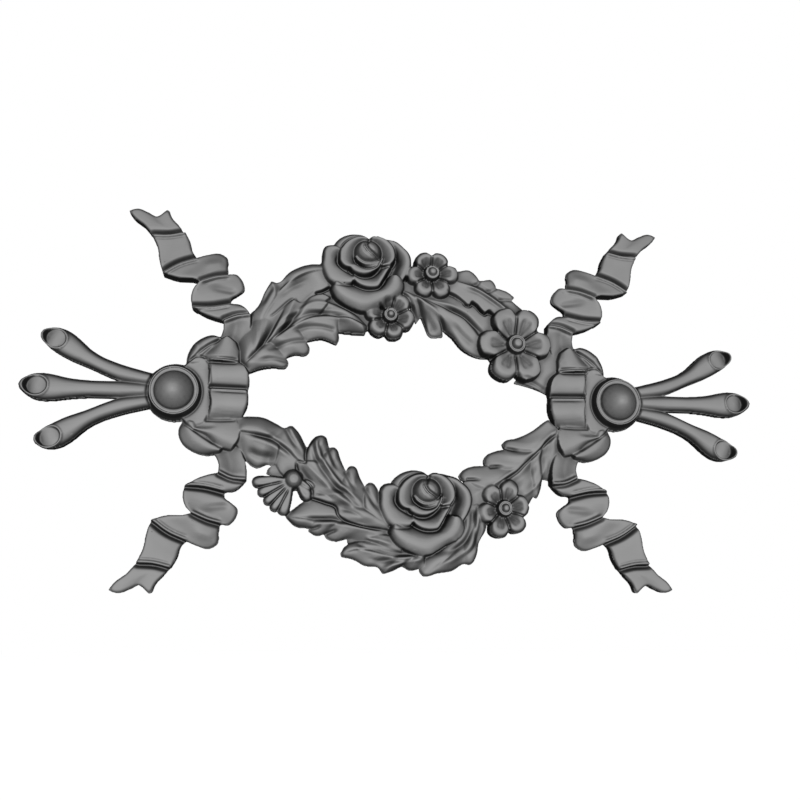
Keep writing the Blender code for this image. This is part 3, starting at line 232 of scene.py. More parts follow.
def sheet(side_a, side_b, start=None, end=None, rows=5, columns=4, crown=0.0, crest=0.5,
          fullness=1.0, tuck=0.0, tuck_share=TUCK_SHARE, under=0.0):
    """Span four edges with a smooth sheet, crowned across and tucked down at its end.

    The start and end edges are given by their points between the two sides; without any
    they are straight. An end that lies under the next form gets one more row, `under`
    units past the end.
    """
    rows, columns = rows * FINER, columns * FINER
    start = [side_a[0], *start, side_b[0]] if start else None
    end = [side_a[-1], *end, side_b[-1]] if end else None
    along = spread([side_a, side_b], rows)
    if tuck:
        along = np.sort(np.append(along, 1 - tuck_share))
    if fullness < 1:
        across = (1 - np.cos(np.linspace(0, math.pi, columns + 1))) / 2
    elif start or end:
        across = spread([edge for edge in (start, end) if edge], columns)
    else:
        across = np.linspace(0, 1, columns + 1)
    a, b = sampled(side_a, along), sampled(side_b, along)
    first = sampled(start, across) if start else a[0] + across[:, None] * (b[0] - a[0])
    last = sampled(end, across) if end else a[-1] + across[:, None] * (b[-1] - a[-1])
    u, v = along[:, None, None], across[None, :, None]
    corners = ((1 - u) * (1 - v) * a[0] + (1 - u) * v * b[0]
               + u * (1 - v) * a[-1] + u * v * b[-1])
    grid = ((1 - u) * first[None] + u * last[None]
            + (1 - v) * a[:, None] + v * b[:, None] - corners)
    grid[:, :, 2] += crown * bump(across, crest, fullness)[None]
    sunk = ((along - 1 + tuck_share) / tuck_share).clip(0, 1) ** 2
    grid[:, :, 2] -= tuck * sunk[:, None]
    if under:
        grid = np.concatenate([grid, hidden_row(grid, under)])
    return grid


def hidden_row(grid, under):
    """Move a grid's last row on by some units, and narrow it so that it stays hidden."""
    last = grid[-1]
    ahead = np.array([last[0, 1] - last[-1, 1], last[-1, 0] - last[0, 0], 0.0])
    ahead *= under / np.linalg.norm(ahead)
    if (last - grid[-2]).mean(axis=0) @ ahead < 0:
        ahead = -ahead
    middle = last.mean(axis=0)
    return (middle + (last - middle) * HIDDEN_WIDTH + ahead)[None]


def turned(centre, profile, sides, stretch=1.0, angle=0.0):
    """Turn (radius, height) pairs about a centre, with the circle stretched along an angle."""
    around = np.linspace(0, 2 * math.pi, ROUNDER * sides + 1)
    grid = []
    for radius, height in profile:
        x, z = stretch * radius * np.cos(around), radius * np.sin(around)
        grid.append(np.stack([centre[0] + x * math.cos(angle) - z * math.sin(angle),
                              centre[1] + x * math.sin(angle) + z * math.cos(angle),
                              np.full(ROUNDER * sides + 1, float(height))], axis=1))
    return np.array(grid)


def placed(points, centre, angle=0.0):
    """Turn local points by an angle and move them to a centre."""
    c, s = math.cos(angle), math.sin(angle)
    return [(centre[0] + p[0] * c - p[1] * s, centre[1] + p[0] * s + p[1] * c, *p[2:])
            for p in points]


def leaf(spine, left, right, columns=4):
    """Make a leaf whose veins leave its spine and bend out to the points of both edges.

    The spine is (x, z, height) points. An edge is (share of the spine, x, z, height,
    swell) points: the vein to that point swells up or, below 0, sinks into a flute.
    The veins leave the spine early, so the teeth point forward.
    """
    spine = filled(spine)
    spine_at, spine_distance = smooth(spine)
    shares = sorted({point[0] for point in left + right})
    places = np.linspace(0, len(shares) - 1, (len(shares) - 1) * VEIN_STEPS + 1)
    shares = np.interp(places, range(len(shares)), shares)
    columns *= VEIN_STEPS
    edges = []
    for side in (left, right):
        at, _ = smooth([point[1:] for point in side])
        edges.append((at, [point[0] for point in side]))
    grid = []
    for share in shares:
        place = np.interp(share ** VEIN_LAG * spine_distance[-1], spine_distance, range(len(spine)))
        root = spine_at(place)
        ahead = (spine_at(min(place + SPINE_STEP, len(spine) - 1))
                 - spine_at(max(place - SPINE_STEP, 0)))[:2]
        ahead /= np.linalg.norm(ahead)
        halves = []
        for at, own_shares in edges:
            edge = at(np.interp(share, own_shares, range(len(own_shares))))
            reach = np.linalg.norm(edge[:2] - root[:2])
            bend = root[:2] + ahead * VEIN_SWEEP * reach
            half = []
            for f in np.linspace(0, 1, columns + 1):
                flat = (1 - f) ** 2 * root[:2] + 2 * f * (1 - f) * bend + f * f * edge[:2]
                height = (root[2] + f * f * (edge[2] - root[2])
                          + VEIN_SWELL * edge[3] * math.sin(math.pi * f))
                half.append((*flat, height))
            halves.append(half)
        grid.append(halves[0][:0:-1] + halves[1])
    return np.array(grid)


def mirrored(grids, x=1, z=1):
    """Copy grids with their x, their z or both turned about the middle of the frame."""
    return [grid * (x, z, 1) for grid in grids]


def ribbon():
    """Fold the upper left ribbon: six bands from its forked end down to the knot."""
    forked_end = sheet(
        [(-220, 149, 9), (-216, 143.5), (-208, 137.5), (-200.5, 129, 11)],
        [(-189, 150.5, 7.7), (-187, 145), (-181, 138), (-176.5, 132.5, 9.3)],
        start=[(-214, 151), (-205, 148), (-198.5, 145, 8.3), (-194, 148.5), (-191, 151.4)],
        rows=3, columns=6, tuck=2.5, tuck_share=0.3, under=3)
    steep = sheet(
        [(-200.8, 129.2, 11.5), (-196, 118), (-194.3, 108), (-191, 97, 13.4)],
        [(-176, 132.8, 10), (-171.5, 124.5), (-169, 116), (-165, 112, 7.5)],
        start=[(-189, 129.7)], end=[(-179, 106)],
        rows=4, columns=3, tuck=2.5, tuck_share=0.22, under=3)
    first_loop = sheet(
        [(-191.4, 97.2, 14), (-180, 93.8), (-168, 93.4), (-161, 91.5, 14)],
        [(-165.2, 112.4, 8), (-156, 116.2), (-148.5, 118, 3.5), (-142, 114, 4),
         (-141.3, 105, 6), (-140.5, 99, 7.7)],
        start=[(-179, 106.2)], end=[(-150, 96.3)],
        rows=5, columns=3, tuck=2.5, under=3)
    second_loop = sheet(
        [(-161.2, 91.8, 14.5), (-167, 84.8), (-168.5, 78), (-167.5, 70.5, 11.6)],
        [(-140.2, 99.3, 8.5), (-134, 99.8), (-129.3, 95, 5), (-127.6, 88.5, 5), (-133, 83, 7),
         (-138, 79), (-138.2, 74.5, 8)],
        start=[(-150, 96.6)], end=[(-153, 71.3)],
        rows=6, columns=3, tuck=2.5, under=3)
    short_turn = sheet(
        [(-167.8, 70.8, 12.2), (-156, 64.3), (-142.5, 60.3, 12.5)],
        [(-138, 74.9, 9), (-130, 73.8), (-125.3, 70.3), (-121.8, 65.8, 13.3)],
        start=[(-153, 71.6)], end=[(-133, 64.6)],
        rows=3, columns=3, tuck=2.2, tuck_share=0.3, under=3)
    last_band = sheet(
        [(-142.7, 60.6, 13), (-142.8, 53), (-147, 44, 4.5)],
        [(-121.5, 66.1, 13.8), (-121.6, 58), (-124.5, 46.5), (-131, 36, 4.5)],
        start=[(-133, 64.9)],
        rows=3, columns=3, crown=-1.0)
    return [forked_end, steep, first_loop, second_loop, short_turn, last_band]


def knot():
    """Lay the left knot: two rolls between folded bands, on a plate behind the boss."""
    plate = sheet([(-157, 30.5, 10), (-153, 25), (-151.5, 8), (-151, -6), (-153, -18), (-163, -26, 9)],
                  [(-165, 30.5, 8), (-182, 10), (-182, -10), (-170, -20), (-164, -26, 8)],
                  rows=4, columns=2)
    upper_back = sheet([(-171, 25, 5), (-169.5, 34), (-165, 42), (-158, 47.5),
                        (-151, 49.4), (-143, 46, 6)],
                       [(-163, 27, 9), (-156, 37), (-142, 46, 9)],
                       rows=4, columns=3, crown=2.5)
    upper_band = sheet([(-166, 26, 9), (-156, 37), (-142, 46.5, 9.5)],
                       [(-158, 27, 8), (-151, 38), (-142, 44, 9)],
                       rows=4, columns=3, crown=1.0)
    upper_front = sheet([(-160, 30, 8), (-151, 39), (-145, 45, 8)],
                        [(-130, 27, 10), (-130, 36), (-132.5, 43.5, 8.5)],
                        start=[(-151, 28, 11)], end=[(-140, 47.8)],
                        rows=3, columns=4, crown=3.0, crest=0.55)
    rolls = [
        sheet([(-153.5, 27.8, 9), (-131, 27.3, 9)],
              [(-152.8, 5, 8), (-123, 4, 8)],
              start=[(-151.8, 17, 9)], end=[(-123.5, 20.5), (-121.5, 13)],
              rows=2, columns=5, crown=5.5, crest=0.45, fullness=0.8),
        sheet([(-152.6, 6, 9), (-122.3, 5, 9)],
              [(-153.5, -20, 6), (-128, -19, 6)],
              start=[(-150.5, -5, 8.5)], end=[(-122.5, -7)],
              rows=2, columns=5, crown=6, crest=0.45, fullness=0.8)]
    lower_front = sheet([(-164, -25.5, 7), (-153, -18, 8), (-131, -18, 9)],
                        [(-163, -27, 7), (-152, -33), (-143, -40), (-134, -42.3, 7)],
                        end=[(-128, -25), (-128.5, -34)],
                        rows=4, columns=3, crown=4, crest=0.6)
    lower_back = sheet([(-171, -19, 5), (-174.7, -28), (-172, -36.5), (-163, -43.5),
                        (-152, -46.4), (-143.5, -45, 5)],
                       [(-162, -22, 8), (-152, -31), (-141, -41, 8)],
                       rows=4, columns=3, crown=3, crest=0.6)
    return [plate, upper_back, upper_band, upper_front, *rolls, lower_front, lower_back]


def boss():
    """Turn the left boss: a steep rounded side, a ring, a groove and a pointed dome."""
    profile = [(r, DRAWN_DEPTH - DOME_FALL * r ** DOME_BEND) for r in (0, 2, 4, 6, 8, 10, 12, 14, 15.2)]
    profile += [(15.8, 14.6), (16.6, 16), (17.4, 14.6), (18.2, 16.4), (18.7, 15.6), (19.8, 11.8),
                (21, 9), (BOSS_RADIUS, 5)]
    return turned((-BOSS_CENTRE[0], BOSS_CENTRE[1]), profile, 20)


def pipes():
    """Sweep the three left pipes from the boss to their round ends."""
    upper = sheet([(-197, 6.5, 7), (-222, 11, 7), (-245, 20.5, 7), (-262, 27.6, 8), (-268, 31),
                   (-273.5, 34.6), (-278, 38.6, 9)],
                  [(-197, 16.8, 7), (-222, 23.7, 7), (-236, 29.3), (-244, 34.5), (-250, 40),
                   (-256, 45), (-262, 48.6, 8), (-270, 50.2), (-276, 49, 9)],
                  end=[(-279.8, 41.3), (-280, 44), (-278.8, 46.9)],
                  rows=7, columns=5, crown=4.5, fullness=0.6)
    middle = sheet([(-198, -2, 7), (-222, -3), (-250, -3.5, 7), (-260, -4.6), (-270, -6, 8),
                    (-278, -6.2), (-285, -4.8), (-290.4, -1.6, 9)],
                   [(-198, 8.6, 7), (-222, 9.6), (-250, 10.1, 7), (-260, 11.2), (-270, 13.4, 8),
                    (-278, 14.3), (-285, 13.3), (-290.4, 10.4, 9)],
                   end=[(-292.9, 1.2), (-293.8, 4.4), (-292.9, 7.6)],
                   rows=6, columns=5, crown=4.5, fullness=0.6)
    lower = upper * (1, -1, 1) + (0, 2 * PIPE_AXIS_Z, 0)
    return [upper, middle, lower]


def mouths():
    """Make the hollows of the three left mouths: their floors fall towards the pipe's end."""
    hollows = []
    for x, z, tilt in MOUTHS:
        angle = math.radians(tilt)
        hollow = turned((x, z), [(MOUTH_RADIUS * share, MOUTH_FLOOR) for share in (0, 0.5, 1)], 16,
                        stretch=MOUTH_STRETCH, angle=-angle)
        outwards = (x - hollow[:, :, 0]) * math.cos(angle) + (hollow[:, :, 1] - z) * math.sin(angle)
        hollow[:, :, 2] -= MOUTH_FALL * (outwards + MOUTH_RADIUS) ** 2
        hollows.append(hollow)
    return hollows


def rose(centre):
    """Wrap a rose: outer petals, inner petals, two lips and the bud, drawn about its bud."""
    raised = (0, LIPS_RAISED, 0)
    back_left = sheet(
        [(-28.1, 4.1, 8.5), (-25.5, 8.5), (-20.9, 12.6), (-14.6, 15.3), (-8.2, 15.9), (-2.7, 15),
         (2.4, 11.5, 9)],
        [(-21.3, -1, 11), (-18.3, 5.5), (-13.3, 9.5), (-7.3, 11.5), (-3.3, 11.5), (1.2, 10.5, 10)],
        rows=6, columns=2, crown=0.8)
    back_right = sheet(
        [(1.5, 10.5, 9), (5, 13.2), (12.9, 12), (19.1, 11.9), (24.4, 10.2), (29.8, 5.7),
         (34.2, 0.9), (36.1, -4.6), (35.9, -10.2), (33, -17.3), (29.2, -23.8, 12)],
        [(3, 6, 8), (14, 6), (19, 3.1), (23, -0.2), (25.6, -3.8), (25.2, -9.3), (22.6, -14.8),
         (20.6, -21.3, 7)],
        rows=9, columns=3, crown=3.0, crest=0.35)
    floor = turned((-2, -15), [(0, 6), (26, 6)], 16)
    right_floor = turned((12, -4), [(0, 6), (18, 6)], 16)
    left = sheet(
        [(-22.2, 1.5, 8), (-25.3, 4.7), (-29.3, 5.4), (-33.5, 4.4), (-35.8, 1), (-36.4, -5.4),
         (-36.8, -12.7), (-35, -19.2), (-31.9, -24.6), (-26.6, -28.5), (-17.9, -29.2),
         (-13.3, -28), (-10.7, -25.2, 12)],
        [(-21.1, 0, 7.5), (-22.2, -1.5), (-23.2, -5), (-22.7, -9.8, 8.5), (-19.3, -13.9, 10.5),
         (-15.3, -16.5, 10.5), (-11.7, -18.4), (-9.6, -19.5, 9.5)],
        rows=9, columns=4, crown=3.5, crest=0.36)
    bottom = sheet(
        [(-28, -26.7, 7), (-29.1, -32.7, 10.5), (-26.2, -39.1, 11.5), (-19.6, -44.8), (-12.3, -48.4),
         (-3.2, -50.8), (3.1, -50), (9.4, -46.6), (16.8, -42), (24, -38.4), (28.3, -33.7),
         (30.1, -27.2), (28.8, -22.5), (25.4, -20.2, 12), (21.5, -20, 11.5)],
        [(-22.1, -24, 6.5), (-15.1, -26.4, 9), (-7.1, -28), (0.9, -29.6), (7.9, -28.6),
         (11.4, -25.6, 8.5), (14.4, -22), (18.4, -19, 7)],
        rows=10, columns=5, crown=6.5, crest=0.48)
    middle = sheet(
        [(-11.5, -22.6, 10), (-10, -27.5), (-6, -30.7), (-0.5, -32.4), (4.8, -32.6),
         (8.7, -31.7), (11.7, -27.8), (16.6, -19.3), (20.1, -12.6, 12.5)],
        [(-9.7, -18, 8.5), (-6.2, -19), (-1.2, -19.5), (4.7, -19.5), (8.2, -15.5), (10.7, -11.5),
         (13.2, -9, 8.5)],
        rows=8, columns=3, crown=4.0, crest=0.28) + raised
    inner_left = sheet(
        [(1.7, 11, 10), (-1.2, 12.9), (-6.8, 13.1), (-13.1, 10.8), (-18.7, 6.5), (-22.4, 0.7),
         (-23.2, -4.3), (-22.8, -9.2), (-20.4, -12.7), (-16, -14.8, 13), (-11, -14.1, 13)],
        [(0.6, 9.4, 9.5), (-5.4, 7.4), (-8.4, 3.9), (-10.5, -2.1), (-10, -8.2),
         (-8.5, -10.7, 10.5)],
        rows=8, columns=4, crown=3.0, crest=0.28)
    inner_right = sheet(
        [(1.2, 11, 10), (4.2, 13.5), (8.7, 13.9), (14, 12), (19.3, 7.5), (22.8, 1.2),
         (22.8, -5.8), (19.6, -10.6), (12.5, -12.2, 13)],
        [(1.5, 9.4, 10), (6, 7.9), (10.5, 3.4), (12.5, -1.1), (12.5, -5.6), (10.5, -9.6, 9.5)],
        rows=7, columns=4, crown=3.0, crest=0.26)
    wide_lip = sheet(
        [(-15.3, -15.4, 13), (-13, -18), (-8.2, -20.6), (-1.8, -21.3), (4.5, -19), (9, -14.9),
         (12.5, -7.9, 13)],
        [(-10.6, -11.2, 12), (-8.2, -11.7), (-2.7, -13.8), (3.3, -13.8), (8.3, -10.8),
         (11.7, -6.8, 12.5)],
        rows=6, columns=3, crown=2.5, crest=0.38) + raised
    thin_lip = sheet(
        [(-10.7, -5.4, 13.5), (-8.7, -10.4), (-4, -13.7), (0.5, -14.6), (5.5, -13.6),
         (9.5, -10.7), (12.8, -5.9, 14.5)],
        [(-9.9, -5.3, 13.5), (-6.9, -8.4), (-1.9, -10.9), (4.1, -10.9), (9.1, -8.4),
         (12.1, -5.9, 14)],
        rows=6, columns=2, crown=1.5, crest=0.4) + raised
    bud = turned((0.3, -0.3), [(0, 20.5), (4, 19.2), (7, 16.6), (9.2, 13.2), (10.6, 10), (11.2, 7.5)],
                 16, stretch=1.08)
    petals = [floor, right_floor, back_left, back_right, left, bottom, middle, inner_left, inner_right,
              wide_lip, thin_lip, bud]
    return [petal + (centre[0], centre[1], 0) for petal in petals]


def round_ended(side, tip, turn, centre, degrees, **shape):
    """Make a petal from one of its sides, the length of its round tip and a turn on that tip."""
    reach, z, height = side[-1]
    other = [(x, -z, *rest) for x, z, *rest in side]
    end = [(reach + tip * math.cos(turn), -z * math.sin(turn), height)
           for turn in np.radians([-turn, 0, turn])]
    side, other, end = (placed(edge, centre, math.radians(degrees)) for edge in (side, other, end))
    return sheet(side, other, end=end, **shape)


def petal(centre, degrees, reach, width, tip_height):
    """Make one spoon-shaped petal that rises from its flower's collar to a round end."""
    half = width / 2
    tip = 0.75 * half
    side = [(2, -0.8, tip_height - 7), (0.3 * reach, -0.25 * width, tip_height - 5),
            (0.5 * reach, -0.44 * width, tip_height - 1.5), (reach - tip, -half, tip_height - 1.5)]
    return round_ended(side, tip, 50, centre, degrees, rows=4, columns=6, crown=2.5, fullness=0.7,
                       tuck=2.5, tuck_share=0.25)


def flower(centre, petals, tip_height, collar, ball):
    """Set petals, (degrees, reach, width) each, around a collar with a ball in it."""
    grids = [petal(centre, *shape, tip_height) for shape in petals]
    web = 0.75 * max(reach for _, reach, _ in petals)
    grids.append(turned(centre, [(0, tip_height - 8), (web, tip_height - 8)], 12))
    top = tip_height + 1
    grids.append(turned(centre, [(0, top - 2), (collar - 1.8, top - 2), (collar - 1.2, top),
                                 (collar - 0.4, top - 0.5), (collar, top - 3)], 12))
    grids.append(turned(centre, [(0, top + ball * 0.6), (ball * 0.6, top + ball * 0.4),
                                 (ball, top - 0.5)], 10))
    return grids


def petal_creases(centre, petals):
    """Scoop each petal out from the collar to past its middle, and cut between the petals."""
    lines = []
    around = sorted((degrees % 360, reach, width) for degrees, reach, width in petals)
    for (degrees, reach, width), (next_degrees, *_) in zip(around, around[1:] + around[:1]):
        angle = math.radians(degrees)
        start, middle, end = 0.3 * reach, 0.48 * reach, 0.68 * reach
        for far, thickness, height in ((0, 0.22, -1.5), (0.12, 0.06, -0.9), (-0.14, 0.06, -0.7)):
            path = [(start, 0), (middle, 0.5 * far * width), (end, far * width)]
            lines.append((placed(path, centre, angle), thickness * width, height, 0.1, 0.15))
        between = math.radians(degrees + (next_degrees - degrees) % 360 / 2)
        lines.append((placed([(start, 0), (0.75 * reach, 0)], centre, between),
                      0.6, -3.0, 0.05, 0.25))
    return lines


def daisy_creases():
    """Cut between the daisy's petals and hollow each one."""
    lines = []
    for (degrees, reach, width), (next_degrees, *_) in zip(DAISY_PETALS, DAISY_PETALS[1:]):
        angle = math.radians(degrees)
        lines.append((placed([(9, 0), (reach - 4, 0)], DAISY, angle), 1.5, -0.8, 0.3, 0.2))
        if next_degrees - degrees < DAISY_GAP:
            between = math.radians((degrees + next_degrees) / 2)
            lines.append((placed([(8, 0), (reach - 1, 0)], DAISY, between), 0.55, -2.8, 0.2, 0.1))
    return lines


def flowers():
    """Set the four open flowers of the garlands."""
    return [grid for described in FLOWERS for grid in flower(*described)]


def daisy():
    """Fan the daisy's long petals from its ball."""
    grids = []
    for degrees, reach, width in DAISY_PETALS:
        half = width / 2
        side = [(3, -1, 10), (0.6 * reach, -0.85 * half), (reach - half, -half, 8.5)]
        grids.append(round_ended(side, half, 45, DAISY, degrees, rows=3, columns=4, crown=3.0,
                                 fullness=0.8, tuck=2.0, tuck_share=0.3))
    grids.append(turned(DAISY, [(0, 18), (3, 17.1), (5.5, 14.6), (7.2, 11), (8, 6.5)], 12))
    return grids


def upper_leaves():
    """Spread the leaves of the upper garland, from left to right."""
    behind = leaf(
        [(-116, 56, 8), (-107, 73, 8), (-98, 89, 8), (-80, 102, 9), (-58, 108, 9)],
        [(0.0, -127, 64, 6, 0), (0.2, -116, 74.5, 6, 1), (0.35, -111.3, 86, 6, 1),
         (0.5, -106, 96, 6, 1), (0.6, -101.5, 94.5, 6, -1), (0.75, -92, 103.5, 7, 1),
         (0.85, -80, 110, 7, 1), (1.0, -58, 112, 8, 0)],
        [(0.0, -108, 50, 7, 0), (0.35, -92, 66, 7, 1), (0.6, -80, 78, 7, 0),
         (0.75, -70.5, 87, 7, -1), (0.85, -62, 91.5, 8, 0), (1.0, -52, 96, 8, 0)], columns=3)
    filler = sheet([(-82, 79, 7.5), (-68, 91, 7), (-36, 97, 6)],
                   [(-60, 66, 8), (-28, 58, 7), (-18, 78, 5)], rows=2, columns=1)
    behind_rose = sheet([(-14, 106, 4.5), (8, 108, 4.5)], [(-14, 80, 4.5), (10, 92, 4.5)],
                        rows=2, columns=1)
    broad = leaf(
        [(-126, 25, 8), (-115, 38, 8), (-100, 50.5, 8), (-85, 61, 8), (-70, 67, 7.5),
         (-50, 68, 7.5), (-28.5, 60.5, 8)],
        [(0.0, -132, 29, 6, 0), (0.1, -131, 41, 6, 2), (0.2, -125, 58, 6, 3),
         (0.25, -108, 65, 9, 2.5), (0.3, -102, 64, 8, 0), (0.4, -93.5, 75, 9, 2.5),
         (0.45, -87, 81.5, 9, 2.5), (0.5, -81.5, 78, 8, 0), (0.6, -73, 83.5, 9, 2),
         (0.65, -65, 85.8, 9, 2), (0.72, -57.5, 83, 9, 1.5), (0.75, -60.5, 79.2, 8, 0.5),
         (0.8, -52, 76.5, 8, 2), (0.9, -40, 70.8, 8, 1.5), (1.0, -28.5, 60.5, 8, 0)],
        [(0.0, -122.5, 19.5, 10, 0), (0.1, -113, 23.2, 9, 2), (0.2, -103, 25, 8, 2),
         (0.3, -93, 25.3, 6, 2), (0.35, -91.2, 29, 6, 1), (0.4, -93.8, 33, 7, 0),
         (0.45, -86, 36, 7, 2), (0.5, -77, 36.2, 6, 2), (0.55, -74.3, 40, 6, 1.5),
         (0.6, -78, 47, 7, 0.5), (0.7, -64, 49.3, 8, 2.5), (0.75, -53, 45.5, 6, 2.5),
         (0.8, -51, 50, 6, 2), (0.85, -53, 55.8, 7, 1), (0.9, -42, 54.8, 8, 3),
         (0.95, -30, 54.3, 8, 2), (1.0, -28.5, 60.5, 8, 0)])
    right_back = leaf(
        [(36, 102, 10), (50, 99.5, 10.5), (65, 93, 11), (82, 82, 11), (100, 69, 10)],
        [(0.0, 36, 113, 7, 0), (0.2, 47, 110.8, 7, 0), (0.35, 57, 112.5, 6, -1),
         (0.42, 62.5, 109, 5, -1), (0.45, 65.5, 104.3, 6, -1), (0.55, 76.5, 104.8, 5, -1),
         (0.6, 79.3, 101, 5, -1), (0.62, 79.5, 98, 6, -1), (0.72, 89, 95.7, 5, -1),
         (0.78, 95.5, 91, 5, -1), (0.8, 92, 88, 6, -1), (0.9, 99, 82.5, 6, 0),
         (1.0, 106, 77, 7, 0)],
        [(0.0, 36, 93, 9.5, 0), (0.2, 43, 89.5, 9.5, 0), (0.42, 53, 82, 9.5, 0),
         (0.5, 57, 82, 9.5, 0), (0.55, 58.5, 84.5, 9.5, 0), (0.6, 62, 82, 9.5, 0),
         (0.72, 68.5, 75.5, 9, 0), (0.78, 72, 77.5, 9, 0), (0.9, 78, 74, 9, 0),
         (1.0, 92, 62, 8, 0)], columns=3)
    right_front = leaf(
        [(-4, 93, 9), (12, 87, 9), (34, 78.5, 8), (50, 72.5, 7), (62, 62.5, 7), (74, 54, 8)],
        [(0.0, 2, 100, 9, 0), (0.4, 40, 94, 6, 0.5), (0.7, 62, 84, 5.5, 1), (1.0, 80, 72, 6, 0)],
        [(0.0, -6, 84, 8, 0), (0.1, 7.5, 80, 7, 0), (0.2, 9.8, 72, 4, 1.5),
         (0.25, 12.3, 66, 3.5, 1.5), (0.3, 16.3, 71.8, 5, 1), (0.35, 19.5, 64, 3.5, 2.5),
         (0.4, 24, 55, 3, 2.5), (0.45, 34.5, 55.3, 3, 2.5), (0.5, 34, 61.2, 4, 2.5),
         (0.6, 42, 54.5, 7, 2.5), (0.7, 50, 45.2, 7, 2.5), (0.85, 62, 38.8, 6, 1.5),
         (1.0, 78, 38, 6, 0)])
    tail = leaf([(94.3, 18.2, 5), (108, 22, 7), (127, 28, 7)],
                [(0.0, 94.3, 18.2, 5, 0), (0.15, 98.3, 22.8, 6, 0), (0.6, 108, 40, 7, 0),
                 (1.0, 132, 48, 5, 0)],
                [(0.0, 94.3, 18.2, 5, 0), (0.15, 100, 17, 4, 0), (0.6, 111, 14, 5, 0),
                 (1.0, 127, 7, 5, 0)], columns=2)
    return [behind, filler, behind_rose, broad, right_back, right_front, tail]


